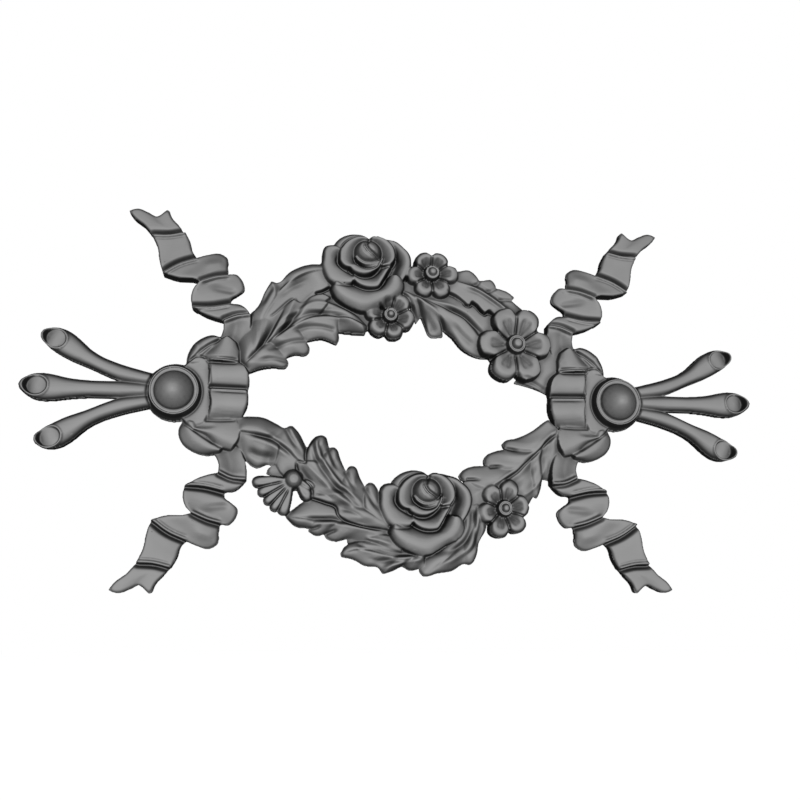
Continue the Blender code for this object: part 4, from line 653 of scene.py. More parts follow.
def lower_leaves():
    """Spread the leaves of the lower garland, from left to right."""
    arching = leaf(
        [(-131, -27, 9), (-117, -30, 9), (-105, -33, 9), (-94, -39, 9), (-82, -49, 9),
         (-68, -62, 9)],
        [(0.0, -131, -17.5, 8, 0), (0.15, -120, -15.4, 7, 2), (0.3, -109, -16.3, 6.5, 2.5),
         (0.45, -99, -21, 6, 2), (0.52, -93, -24, 6, 0.5), (0.6, -87.5, -22, 5.5, 1),
         (0.7, -82, -27, 5, 1.5), (0.8, -75, -39.5, 5, 1), (1.0, -62, -56, 7, 0)],
        [(0.0, -131, -37, 8, 0), (0.15, -127, -41, 6, 1), (0.3, -123, -48.5, 4, 2),
         (0.45, -114, -55.4, 3, 2.5), (0.52, -104, -52.5, 4, 2), (0.6, -101, -54, 4, 2),
         (0.62, -99.5, -51.5, 5, 1), (0.8, -94, -60, 6, 0), (1.0, -78, -72, 7, 0)])
    scrap = sheet([(-106, -60, 4), (-105, -56.5, 4), (-100, -53, 4)],
                  [(-90, -66, 5), (-88, -58, 5), (-86, -52, 5)], rows=2, columns=1)
    tall = leaf(
        [(-10, -100, 10), (-26, -89.5, 11), (-44, -74, 11.5), (-57, -60, 11.5),
         (-66.5, -43, 11), (-64, -29.3, 8)],
        [(0.0, -10, -102.5, 9, 0), (0.2, -30, -99.7, 9, 1), (0.35, -49, -92, 9, 1.5),
         (0.4, -50.3, -86.5, 8.5, 0.5), (0.5, -60, -81.7, 9, 1.5), (0.55, -70.5, -78.7, 8, 1.5),
         (0.6, -70.3, -72.5, 8, 0), (0.7, -76, -65, 8, 1), (0.75, -82, -57, 8, 1),
         (0.8, -83, -49.5, 8, 1), (0.85, -77, -51.3, 8, 0), (0.9, -75.6, -43, 8, 1),
         (0.95, -70.8, -33, 8, 1), (0.98, -67.5, -30.2, 8, 0.5), (1.0, -64, -29.2, 8, 0)],
        [(0.0, -9, -98, 10, 0), (0.2, -17, -80, 7, 1), (0.3, -20.5, -68.5, 6, 1.5),
         (0.35, -24, -65.8, 6, 1.5), (0.38, -27.3, -67.2, 6.5, 1), (0.4, -28.8, -71, 8, 0),
         (0.5, -34, -60, 6, 1), (0.54, -36.5, -54, 6, 1.5), (0.57, -39.5, -52.9, 6, 1.5),
         (0.6, -42.3, -54.6, 6.5, 1), (0.65, -44, -59, 8, 0), (0.74, -49.5, -45.5, 6, 1),
         (0.78, -51.5, -40, 6, 1.5), (0.81, -54, -38.3, 6, 1.5), (0.84, -56.6, -39, 6.5, 0.5),
         (0.86, -57.8, -41, 8, 0), (0.93, -59, -34.5, 7, 1), (0.97, -60.5, -30.5, 7, 0.5),
         (1.0, -64, -29.2, 8, 0)])
    low = leaf(
        [(-12, -104, 7), (-30, -101, 7), (-46, -96.5, 6.5), (-60, -95, 6.5), (-74, -94.5, 6.5),
         (-90.5, -93, 5)],
        [(0.0, -12, -96, 8, 0), (0.35, -45, -90, 8, 1.5), (0.6, -58, -82, 7, 1.5),
         (0.75, -72, -79.7, 6, 1.5), (0.9, -84, -87, 5, 1), (1.0, -90.5, -93, 5, 0)],
        [(0.0, -10, -114, 6, 0), (0.2, -26, -113, 5, 1), (0.35, -41, -109.7, 4, 1.5),
         (0.5, -53, -111.7, 3.5, 2), (0.55, -59.5, -108, 3.5, 1.5), (0.6, -60, -106, 4.5, 1),
         (0.65, -66, -107.6, 4, 2), (0.75, -72.5, -104, 4, 1.5), (0.8, -71, -102, 4.5, 1),
         (0.9, -83, -100.3, 4.5, 1.5), (1.0, -90.5, -93, 5, 0)], columns=3)
    tongue = sheet([(-24, -111.5, 6), (-14, -115.5, 8), (0, -120, 9)],
                   [(-28, -107.8, 6), (-20, -106.8, 8), (-4, -108, 9)],
                   rows=3, columns=2, crown=1.0)
    under = sheet([(-41, -109, 4), (-42, -112, 4), (-40.5, -114.5, 4)],
                  [(-22, -107, 5), (-18, -112, 5), (-14, -118, 5)], rows=2, columns=1)
    bottom = leaf(
        [(20, -122, 8), (0, -122.5, 6.5), (-14, -121, 6.5), (-26, -117.7, 6.5),
         (-47, -121, 6)],
        [(0.0, 18, -114, 8, 0), (0.35, -4, -113.5, 7, 0.5), (0.65, -24, -111.6, 6, 1.5),
         (0.85, -37, -113, 6, 1.5), (0.93, -43.5, -115.7, 6, 1), (1.0, -47, -121, 6, 0)],
        [(0.0, 18, -131, 6, 0), (0.15, 7, -134, 5, 2), (0.25, 1, -131, 5, 1.5),
         (0.35, -6, -134, 5, 2.5), (0.42, -14, -136.7, 5, 2), (0.48, -17.5, -131.8, 5, 0.5),
         (0.65, -28, -130.5, 5, 1.5), (0.85, -37, -125.7, 5, 1), (0.95, -46.5, -123.7, 5, 0.5),
         (1.0, -47, -121, 6, 0)], columns=3)
    curled = leaf(
        [(60, -82, 10), (57, -98, 9), (50, -113, 8.5), (38, -123, 8), (18, -138.5, 5)],
        [(0.0, 53, -82, 9, 0), (0.25, 47, -100, 8, 0.5), (0.5, 38, -113, 8, 1.5),
         (0.6, 31, -119.3, 7, 0.5), (0.75, 22, -124, 6, 1), (0.9, 15.6, -131, 5, 0.5),
         (0.96, 15.4, -135.5, 5, 0.3), (1.0, 18, -138.5, 5, 0)],
        [(0.0, 67, -82, 8, 0), (0.25, 67.5, -102, 7, 1.5), (0.35, 62, -112, 6, 0),
         (0.5, 60, -122, 6, 1.5), (0.57, 55, -129.3, 5, 1), (0.6, 51, -128.6, 5, 0.5),
         (0.75, 40, -134.3, 5, 1.5), (0.88, 27, -136.5, 5, 0.5),
         (0.96, 21.5, -138.3, 5, 0.3), (1.0, 18, -138.5, 5, 0)],
        columns=3)
    split = leaf(
        [(128, -19, 9), (112, -34.5, 10), (97, -48.5, 10.5), (84, -60, 10.5), (54, -77, 10)],
        [(0.0, 121, -12.5, 9, 0), (0.2, 106, -23.2, 8, 0.5), (0.34, 93, -28.7, 6, 1),
         (0.39, 86, -30.3, 5.5, 1), (0.42, 83.2, -33.2, 5.5, 1), (0.44, 84.5, -36.4, 6, 0.5),
         (0.46, 88.5, -37.3, 8, 0), (0.53, 76, -39.5, 6, 1.5), (0.58, 70, -42.5, 5.5, 1),
         (0.62, 67.3, -47.5, 5.5, 1), (0.64, 68.5, -51.5, 6, 0.5), (0.67, 74, -52.2, 8, 0),
         (0.78, 60, -51.5, 6, 1), (0.83, 51, -54.5, 5.5, 1), (0.86, 46.9, -59.5, 5.5, 1),
         (0.88, 48.5, -62.2, 6, 0.5), (0.91, 56, -62.2, 8, 0), (1.0, 46, -67, 9, 0)],
        [(0.0, 131, -26, 9, 0), (0.1, 128, -40, 5, 1), (0.2, 124, -52, 4, 0),
         (0.25, 121, -61.5, 4, 0), (0.28, 115.5, -60.5, 4, 0), (0.35, 114, -69, 4, 1.5),
         (0.42, 111, -76.3, 4, 1), (0.45, 108, -74.5, 4, 0.5), (0.55, 101, -84, 5, 1),
         (0.67, 88, -84, 7, 0), (0.85, 70, -84, 9, 0), (1.0, 54, -84, 9, 0)])
    left_filler = sheet([(-26, -96, 7), (-4, -94, 7)], [(-24, -112, 7), (0, -116, 7)],
                        rows=2, columns=1)
    right_filler = sheet([(12, -114, 5), (48, -98, 5)], [(14, -128, 5), (46, -120, 5)],
                         rows=2, columns=1)
    return [arching, scrap, tall, low, tongue, under, bottom, curled, split, left_filler,
            right_filler]


def frame_grids():
    """Collect the grids of the whole frame."""
    bands = ribbon()
    end = knot() + [boss()] + pipes()
    grids = []
    for x in (1, -1):
        for z in (1, -1):
            grids += mirrored(bands, x, z)
        grids += mirrored(end, x)
    grids += upper_leaves() + lower_leaves()
    grids += flowers() + daisy()
    grids += rose(UPPER_ROSE) + rose(LOWER_ROSE)
    return grids


def spot(points):
    """Return the row and column of the field's sample nearest to each point."""
    column = np.rint((points[..., 0] + X_REACH) / PIXEL).astype(int)
    row = np.rint((points[..., 1] + Z_REACH) / PIXEL).astype(int)
    return row, column


def raise_form(field, grid):
    """Raise the field to a form's surface, wherever the form is the higher of the two."""
    for _ in range(2):
        count = grid.shape[0] - 1
        longest = np.linalg.norm(np.diff(grid[..., :2], axis=0), axis=2).max()
        place = np.linspace(0, count, int(count * longest / (FORM_STEP * PIXEL)) + 2)
        below = np.minimum(place.astype(int), count - 1)
        share = (place - below)[:, None, None]
        grid = (grid[below] * (1 - share) + grid[below + 1] * share).swapaxes(0, 1)
    np.maximum.at(field, spot(grid), grid[..., 2])


def strokes(field, lines):
    """Add ridges, and below 0 grooves, along smooth paths that fade towards their ends.

    A line is its points, its half width, its height, and the shares of its length over
    which its start and its end fade.
    """
    change = np.zeros_like(field)
    for points, width, height, start, end in lines:
        at, distance = smooth(points)
        count = int(distance[-1] / PIXEL) + 2
        shares = np.linspace(0, 1, count)
        strength = np.minimum(shares / max(start, NO_GAP), (1 - shares) / max(end, NO_GAP)).clip(0, 1)
        strength = strength * strength * (3 - 2 * strength)
        reach = int(STROKE_REACH * width / PIXEL) + 1
        offsets = np.arange(-reach, reach + 1) * PIXEL
        path = np.array([at(np.interp(share * distance[-1], distance, range(len(points))))
                         for share in shares])
        rows, columns = spot(path)
        low_row, low_column = rows.min() - reach, columns.min() - reach
        line = np.zeros((rows.max() - low_row + reach + 1, columns.max() - low_column + reach + 1))
        for (x, z), row, column, amount in zip(path[:, :2], rows, columns, strength):
            dx = column * PIXEL - X_REACH + offsets - x
            dz = row * PIXEL - Z_REACH + offsets - z
            mark = amount * np.exp(-(dx[None] ** 2 + dz[:, None] ** 2) / width ** 2)
            window = line[row - low_row - reach:row - low_row + reach + 1,
                          column - low_column - reach:column - low_column + reach + 1]
            np.maximum(window, mark, out=window)
        change[low_row:low_row + line.shape[0],
               low_column:low_column + line.shape[1]] += height * line
    return np.where(field > 0, field + change, 0)


def hollow_mouths(field):
    """Cut the slanting hollows of the pipe mouths into the field."""
    for hollow in mirrored(mouths()) + mirrored(mouths(), -1):
        floor = np.zeros_like(field)
        raise_form(floor, hollow)
        field = np.where(floor > 0, np.minimum(field, floor), field)
    return field


def blurred(field, width):
    """Soften a field with a bell curve of a width in drawn units."""
    reach = int(BLUR_REACH * width / PIXEL)
    steps = range(-reach, reach + 1)
    weights = np.exp(-0.5 * (np.array(steps) * PIXEL / width) ** 2)
    weights /= weights.sum()
    for axis in (0, 1):
        field = sum(weight * np.roll(field, step, axis) for step, weight in zip(steps, weights))
    return field


def averaged(field, cover, width):
    """Average a field over a width, as far as the frame covers it."""
    return blurred(field * cover, width) / np.maximum(blurred(cover, width), LEAST_COVER)


def relief():
    """Return the frame's heights, and how much of each sample's surroundings it covers."""
    field = np.zeros((int(2 * Z_REACH / PIXEL) + 1, int(2 * X_REACH / PIXEL) + 1))
    for grid in frame_grids():
        raise_form(field, grid)
    field = hollow_mouths(strokes(field, creases()))
    covered = (field > 0).astype(float)
    cover = blurred(covered, SOFT)
    heights = blurred(field, SOFT) / np.maximum(cover, LEAST_COVER)
    heights += DEEPER * (heights - averaged(heights, covered, DEEPENED)) * covered
    rim = ((1 - blurred(covered, ROUNDED)) * 2).clip(0, 1)
    return np.maximum(heights - ROUNDED * rim ** 2, THINNEST), cover


def crossing(inside, values):
    """Return which neighbours in a row the outline runs between, and how far from the first."""
    change = inside[:, 1:] != inside[:, :-1]
    gap = values[:, 1:] - values[:, :-1]
    share = (OUTLINE - values[:, :-1]) / np.where(change, gap, 1)
    return change, share.clip(OFF_SAMPLE, 1 - OFF_SAMPLE)


def carved_mesh(heights, cover):
    """Mesh the front of the height field, and list the edges along its outline.

    Squares of samples inside the outline become faces. A square that the outline crosses
    is cut where the cover reaches the outline's share, on its level and upright sides.
    """
    rows, columns = heights.shape
    inside = cover >= OUTLINE
    x = np.arange(columns) * PIXEL - X_REACH
    z = np.arange(rows) * PIXEL - Z_REACH
    spots = np.stack([*np.meshgrid(x, z), heights], axis=2)

    number = np.full((rows, columns), -1)
    number[inside] = np.arange(inside.sum())
    level, level_share = crossing(inside, cover)
    upright, upright_share = crossing(inside.T, cover.T)
    upright, upright_share = upright.T, upright_share.T
    level_number = np.full(level.shape, -1)
    level_number[level] = inside.sum() + np.arange(level.sum())
    upright_number = np.full(upright.shape, -1)
    upright_number[upright] = inside.sum() + level.sum() + np.arange(upright.sum())
    on_level = (spots[:, :-1] + (spots[:, 1:] - spots[:, :-1]) * level_share[..., None])[level]
    on_upright = (spots[:-1] + (spots[1:] - spots[:-1]) * upright_share[..., None])[upright]
    points = np.concatenate([spots[inside], on_level, on_upright])

    corners = [inside[:-1, :-1], inside[:-1, 1:], inside[1:, 1:], inside[1:, :-1]]
    whole = np.logical_and.reduce(corners)
    faces = np.stack([number[:-1, :-1][whole], number[:-1, 1:][whole],
                      number[1:, 1:][whole], number[1:, :-1][whole]], axis=1).tolist()
    rim = []
    for r, c in zip(*np.nonzero(np.logical_or.reduce(corners) & ~whole)):
        around = ((number[r, c], level_number[r, c]), (number[r, c + 1], upright_number[r, c + 1]),
                  (number[r + 1, c + 1], level_number[r + 1, c]),
                  (number[r + 1, c], upright_number[r, c]))
        face, cut = [], []
        for corner, edge in around:
            if corner >= 0:
                face.append(corner)
                cut.append(False)
            if edge >= 0:
                face.append(edge)
                cut.append(True)
        faces.append(face)
        rim += [(face[k - 1], face[k]) for k in range(len(face)) if cut[k - 1] and cut[k]]
    return points, faces, rim


def closed(points, faces, rim, cover):
    """Give the front its walls and its flat back, and list which points the walls start from."""
    on_rim = sorted({end for edge in rim for end in edge})
    place = {number: i for i, number in enumerate(on_rim)}
    shoulders = points[on_rim] - (0, 0, SHOULDER)
    feet = points[on_rim] * (1, 1, 0)
    shoulder, foot = len(points), len(points) + len(on_rim)
    for a, b in rim:
        i, j = place[a], place[b]
        faces.append([b, a, shoulder + i, shoulder + j])
        faces.append([shoulder + j, shoulder + i, foot + i, foot + j])
    _, _, back, *_ = delaunay_2d_cdt([Vector(point[:2]) for point in feet],
                                     [(place[a], place[b]) for a, b in rim], [], 1, SAME_POINT)
    for triangle in back:
        if cover[spot(feet[list(triangle)].mean(axis=0))] >= OUTLINE:
            faces.append([foot + i for i in reversed(triangle)])
    return np.concatenate([points, shoulders, feet]), on_rim


def added(name, data):
    """Put a mesh, a light or a camera into the scene."""
    made = bpy.data.objects.new(name, data)
    bpy.context.scene.collection.objects.link(made)
    return made


def thin_out(piece, triangles):
    """Thin a piece's mesh, of some triangles, to the stated number, and keep its back flat."""
    full = piece.data
    thinned = piece.modifiers.new("thinned", "DECIMATE")
    thinned.ratio = TRIANGLES / triangles
    thinned.use_collapse_triangulate = True
    thinner = piece.evaluated_get(bpy.context.evaluated_depsgraph_get())
    piece.data = bpy.data.meshes.new_from_object(thinner)
    piece.modifiers.clear()
    bpy.data.meshes.remove(full)
    for polygon in piece.data.polygons:
        polygon.use_smooth = polygon.normal.y < FACING_BACK


def dressed_frame():
    """Make the relief one closed mesh, and put it where the CAD frame is."""
    heights, cover = relief()
    front, faces, rim = carved_mesh(heights, cover)
    points, on_rim = closed(front, faces, rim, cover)
    spots = np.stack([points[:, 0] * UNIT + MIDDLE[0], HIGH[1] - points[:, 2] * UNIT_DEEP,
                      points[:, 1] * UNIT + MIDDLE[2]], axis=1)
    mesh = bpy.data.meshes.new("fine carving")
    mesh.from_pydata(spots.tolist(), [], faces)
    mesh.shade_smooth()
    # how far each point lies below its surroundings, which sets how much painted shade its hollow gets
    hollow = (averaged(heights, cover, HOLLOW) - heights) / HOLLOW_DEPTH
    depth = hollow.clip(-1, 1)[spot(front)]
    depths = mesh.attributes.new("depth", "FLOAT", "POINT")
    depths.data.foreach_set("value", np.concatenate([depth, depth[on_rim], np.zeros(len(on_rim))]))
    piece = added("carving", mesh)
    thin_out(piece, sum(len(face) - 2 for face in faces))
    return piece


def shifted(points, away):
    """Move a line sideways, to its right as it runs where away is above 0."""
    points = np.array([point[:2] for point in points], float)
    ahead = np.gradient(points, axis=0)
    ahead /= np.linalg.norm(ahead, axis=1)[:, None]
    return points + away * np.stack([ahead[:, 1], -ahead[:, 0]], axis=1)


def fold(points):
    """Carve a ribbon's fold along the edge where a band starts: a lip between two grooves."""
    return [(shifted(points, -1.3), 1.9, -2.4, 0.05, 0.05),
            (shifted(points, 1.0), 1.1, 1.2, 0.05, 0.05),
            (shifted(points, 3.1), 0.9, -0.9, 0.12, 0.12)]


def ribbon_creases():
    """Fold the upper left ribbon where its bands meet."""
    lines = []
    for edge in ([(-201, 129), (-189, 129.7), (-175.5, 133)],
                 [(-191.5, 97), (-179, 106.2), (-165, 112.4)],
                 [(-161.5, 91.6), (-150, 96.6), (-140, 99.3)],
                 [(-168, 70.6), (-153, 71.6), (-138, 75)],
                 [(-143, 60.4), (-133, 64.9), (-121.5, 66.3)]):
        lines += fold(edge)
    lines.append(([(-156, 87.5), (-145, 86.5), (-134, 85)], 2.6, -1.2, 0.4, 0.2))
    lines.append(([(-160, 104), (-150, 107), (-144, 108)], 4.0, 1.0, 0.5, 0.3))
    lines.append(([(-133, 62), (-134, 52), (-138, 42)], 4.0, -1.2, 0.2, 0.3))
    return lines


def knot_creases():
    """Fold the left knot: its bands, its rolls and the lips between them."""
    return [
        ([(-169, 26), (-157, 38), (-143, 47)], 0.9, -1.8, 0.1, 0.1),
        ([(-160, 30), (-151, 39.5), (-145, 45.5)], 0.9, -1.5, 0.1, 0.1),
        ([(-158, 30.5), (-150, 29.8), (-131, 29.2)], 1.0, -1.8, 0.1, 0.05),
        ([(-154, 28), (-131, 27.6)], 0.8, 1.2, 0.1, 0.05),
        ([(-154, 26.3), (-131, 25.8)], 0.9, -1.3, 0.1, 0.1),
        ([(-152.5, 7.2), (-123, 6.7)], 1.2, -2.2, 0.05, 0.05),
        ([(-152, 5.1), (-122.5, 4.4)], 0.8, 1.4, 0.05, 0.05),
        ([(-151, 3.5), (-123, 2.8)], 0.9, -1.2, 0.4, 0.1),
        ([(-171, 25.5), (-165, 30), (-158.5, 31.2), (-155.5, 29.5)], 0.8, -1.6, 0.05, 0.05),
        ([(-156, 29.5), (-153, 26), (-151.5, 18), (-151.2, 8), (-151.7, 2), (-150.3, -6), (-151.7, -14),
          (-154, -20)], 0.8, -1.6, 0.05, 0.05),
        ([(-155, -19.5), (-145, -19.7), (-130, -19)], 0.9, -1.6, 0.05, 0.1),
        ([(-172, -21), (-160, -29.5), (-146, -38.5)], 0.9, -1.8, 0.1, 0.1),
        ([(-164, -26.5), (-154, -31.5), (-146, -38), (-141, -42)], 0.8, -1.2, 0.1, 0.1),
        ([(-163, -26), (-154, -24.5), (-143, -24)], 2.5, -2.0, 0.2, 0.6),
        ([(-168, 45), (-160, 37)], 2.0, 0.8, 0.3, 0.3)]


def boss_creases():
    """Cut fine rings round the left boss's dome and round the left mouths."""
    around = np.linspace(0, 2 * math.pi, 33)
    circle = np.stack([np.cos(around), np.sin(around)], axis=1)
    centre = (-BOSS_CENTRE[0], BOSS_CENTRE[1])
    lines = [(centre + radius * circle, width, height, 0, 0)
             for radius, width, height in ((15.7, 0.6, -1.6), (17.4, 0.55, -2.2), (20.4, 1.2, -2.0))]
    for hollow in mouths():
        middle, edge = hollow[0, 0, :2], hollow[-1, ::2, :2]
        lines.append((edge, 0.6, -1.8, 0, 0))
        lines.append((middle + MOUTH_RIM * (edge - middle), 0.8, 1.2, 0, 0))
    return lines


def rose_creases(centre):
    """Cut the crevices between a rose's petals, and the curling slit of its bud."""
    lines = [
        ([(-23.5, -2), (-24.3, -8.5), (-21.9, -13.4), (-17.4, -16.6), (-12, -19.2), (-6.5, -21.4),
          (-1, -21.8), (4.6, -19.7), (9.2, -16), (12, -11.8)], 1.0, -2.2, 0.12, 0.12),
        ([(-9.6, -7.6), (-6.9, -11.1), (-2.3, -13.9), (2, -14.2), (7.6, -12.2), (11.3, -8.5)],
         0.9, -3.4, 0.2, 0.3),
        ([(-11.2, -3.5), (-8.8, -9), (-3.5, -12), (2.6, -12), (8.5, -9.2), (12.1, -5)],
         1.0, -3.0, 0.1, 0.1),
        ([(-11.9, -22.8), (-10.6, -27.2), (-6, -30.4), (-0.7, -32.1), (4.9, -32.2), (9, -31.2),
          (12.7, -26.8)], 0.9, -2.2, 0.15, 0.1),
        ([(12, -28.3), (16.7, -18.8), (20.6, -11.8)], 1.2, -3.0, 0.1, 0.15),
        ([(11.5, -13.2), (19.3, -11.6), (23.3, -6.5), (23.6, 0.2), (21, 5)], 1.2, -3.0, 0.1, 0.35),
        ([(24.8, -2), (26.3, -7), (24, -13), (20, -21)], 1.6, -1.2, 0.3, 0.15),
        ([(-32, -25.6), (-26.6, -29.3), (-18, -30), (-12.8, -28.9), (-10.4, -26)],
         0.7, -1.3, 0.2, 0.1),
        ([(-22, 2), (-19, 7), (-13.4, 11.5), (-7, 13.9), (-1, 13.6)], 0.8, -1.6, 0.1, 0.1),
        ([(2.8, 12), (0, 7.5), (-1.6, 3.4), (0.4, -0.4), (5, -3.6), (10, -5.8)],
         1.1, -3.0, 0.05, 0.15),
        ([(0.2, 10.4), (-3, 6), (-4, 2), (-1.4, -2.6), (3.8, -5.4), (8.8, -7)],
         0.8, -1.2, 0.1, 0.2),
        ([(1.4, 11.4), (-1.4, 6.8), (-2.8, 2.8), (-0.6, -1.6), (4.4, -4.6), (9.4, -6.4)],
         0.7, 1.0, 0.1, 0.2)]
    return [(np.array(points) + centre, *rest) for points, *rest in lines]


def upper_creases():
    """Vein the leaves of the upper garland, from left to right."""
    return [
        ([(-114, 74), (-109, 84), (-104, 93)], 2.0, -1.8, 0.3, 0.3),
        ([(-101, 80), (-92, 90), (-76, 99)], 2.4, -1.2, 0.3, 0.4),
        ([(-98, 86), (-88, 95), (-74, 102.5)], 1.8, 0.9, 0.3, 0.4),
        ([(-107, 65), (-103, 68), (-97, 74), (-92, 79), (-89, 81), (-85, 80), (-82, 78)],
         0.7, -1.3, 0.1, 0.1),
        ([(-70.5, 87), (-65, 88.5), (-59, 92)], 0.9, -4, 0.1, 0.0),
        ([(-62, 79.5), (-59, 81.5), (-57.5, 84)], 0.9, -3, 0.2, 0.1),
        ([(-107, 47), (-98, 54), (-90, 60), (-82, 66), (-75, 69), (-65, 70), (-50, 69),
          (-38, 66)], 1.9, -2.8, 0.25, 0.3),
        ([(-107, 43), (-95, 52.5), (-85, 59.5), (-75, 64), (-60, 66), (-45, 65), (-35, 61.5),
          (-30, 58)], 1.9, 1.4, 0.3, 0.2),
        ([(-100, 60), (-90, 68), (-80, 74), (-70, 78), (-60, 77.5), (-50, 74), (-30, 64)],
         1.8, 1.2, 0.3, 0.3),
        ([(-104, 53), (-92, 64), (-80, 70), (-68, 73.5)], 1.4, -1.0, 0.3, 0.4),
        ([(-112, 36), (-98, 42), (-86, 46), (-78, 47.5)], 1.8, -1.6, 0.4, 0.05),
        ([(-92, 52), (-78, 57.5), (-66, 58), (-55, 56.3)], 1.8, -1.6, 0.4, 0.05),
        ([(-118, 28), (-105, 31), (-92, 30)], 1.6, -1.3, 0.4, 0.05),
        ([(52, 99), (65, 94), (75, 87.5), (85, 81), (95, 74)], 1.7, 1.1, 0.2, 0.2),
        ([(50, 96), (64, 91.5), (74, 85), (84, 78.5)], 1.8, -1.3, 0.3, 0.2),
        ([(55, 103), (67, 98), (78, 91), (90, 82.5)], 1.7, -1.2, 0.2, 0.2),
        ([(58, 99), (64, 101), (66, 104.5)], 1.3, -1.4, 0.3, 0.0),
        ([(68, 94), (76, 95.5), (80, 98)], 1.3, -1.4, 0.3, 0.0),
        ([(78, 87), (86, 88), (92.5, 88)], 1.3, -1.4, 0.3, 0.0),
        ([(36, 92.5), (44, 89), (51, 83.5), (54.5, 80.8), (57, 81.3), (58.3, 84), (62, 81.3),
          (66, 76.5), (69.3, 74.3), (71.5, 75.8), (72.8, 76.8), (77, 73.5)], 0.8, -3.4, 0.1, 0.1),
        ([(33, 79), (45, 75), (52, 71.5), (58, 66), (66, 57)], 2.4, -3.2, 0.3, 0.05),
        ([(0, 89), (15, 83), (30, 72), (40, 61)], 1.8, 1.3, 0.3, 0.3),
        ([(-2, 92), (10, 87.5), (25, 83.5), (40, 80.5), (55, 74)], 1.6, 1.0, 0.3, 0.3),
        ([(2, 90), (14, 85.5), (24, 80.5), (34, 76)], 1.5, -1.0, 0.3, 0.3),
        ([(7, 81), (10.5, 75), (12.5, 69)], 1.6, -2.0, 0.3, 0.1),
        ([(16, 77), (21.5, 68), (27, 59)], 3.0, -1.8, 0.3, 0.1),
        ([(28, 72), (33, 65), (35, 60.5)], 1.3, -1.4, 0.5, 0.05),
        ([(40, 66), (50, 55), (60, 47)], 2.4, -1.2, 0.3, 0.2),
        ([(98, 22), (108, 19), (120, 12)], 1.6, -1.3, 0.2, 0.1)]


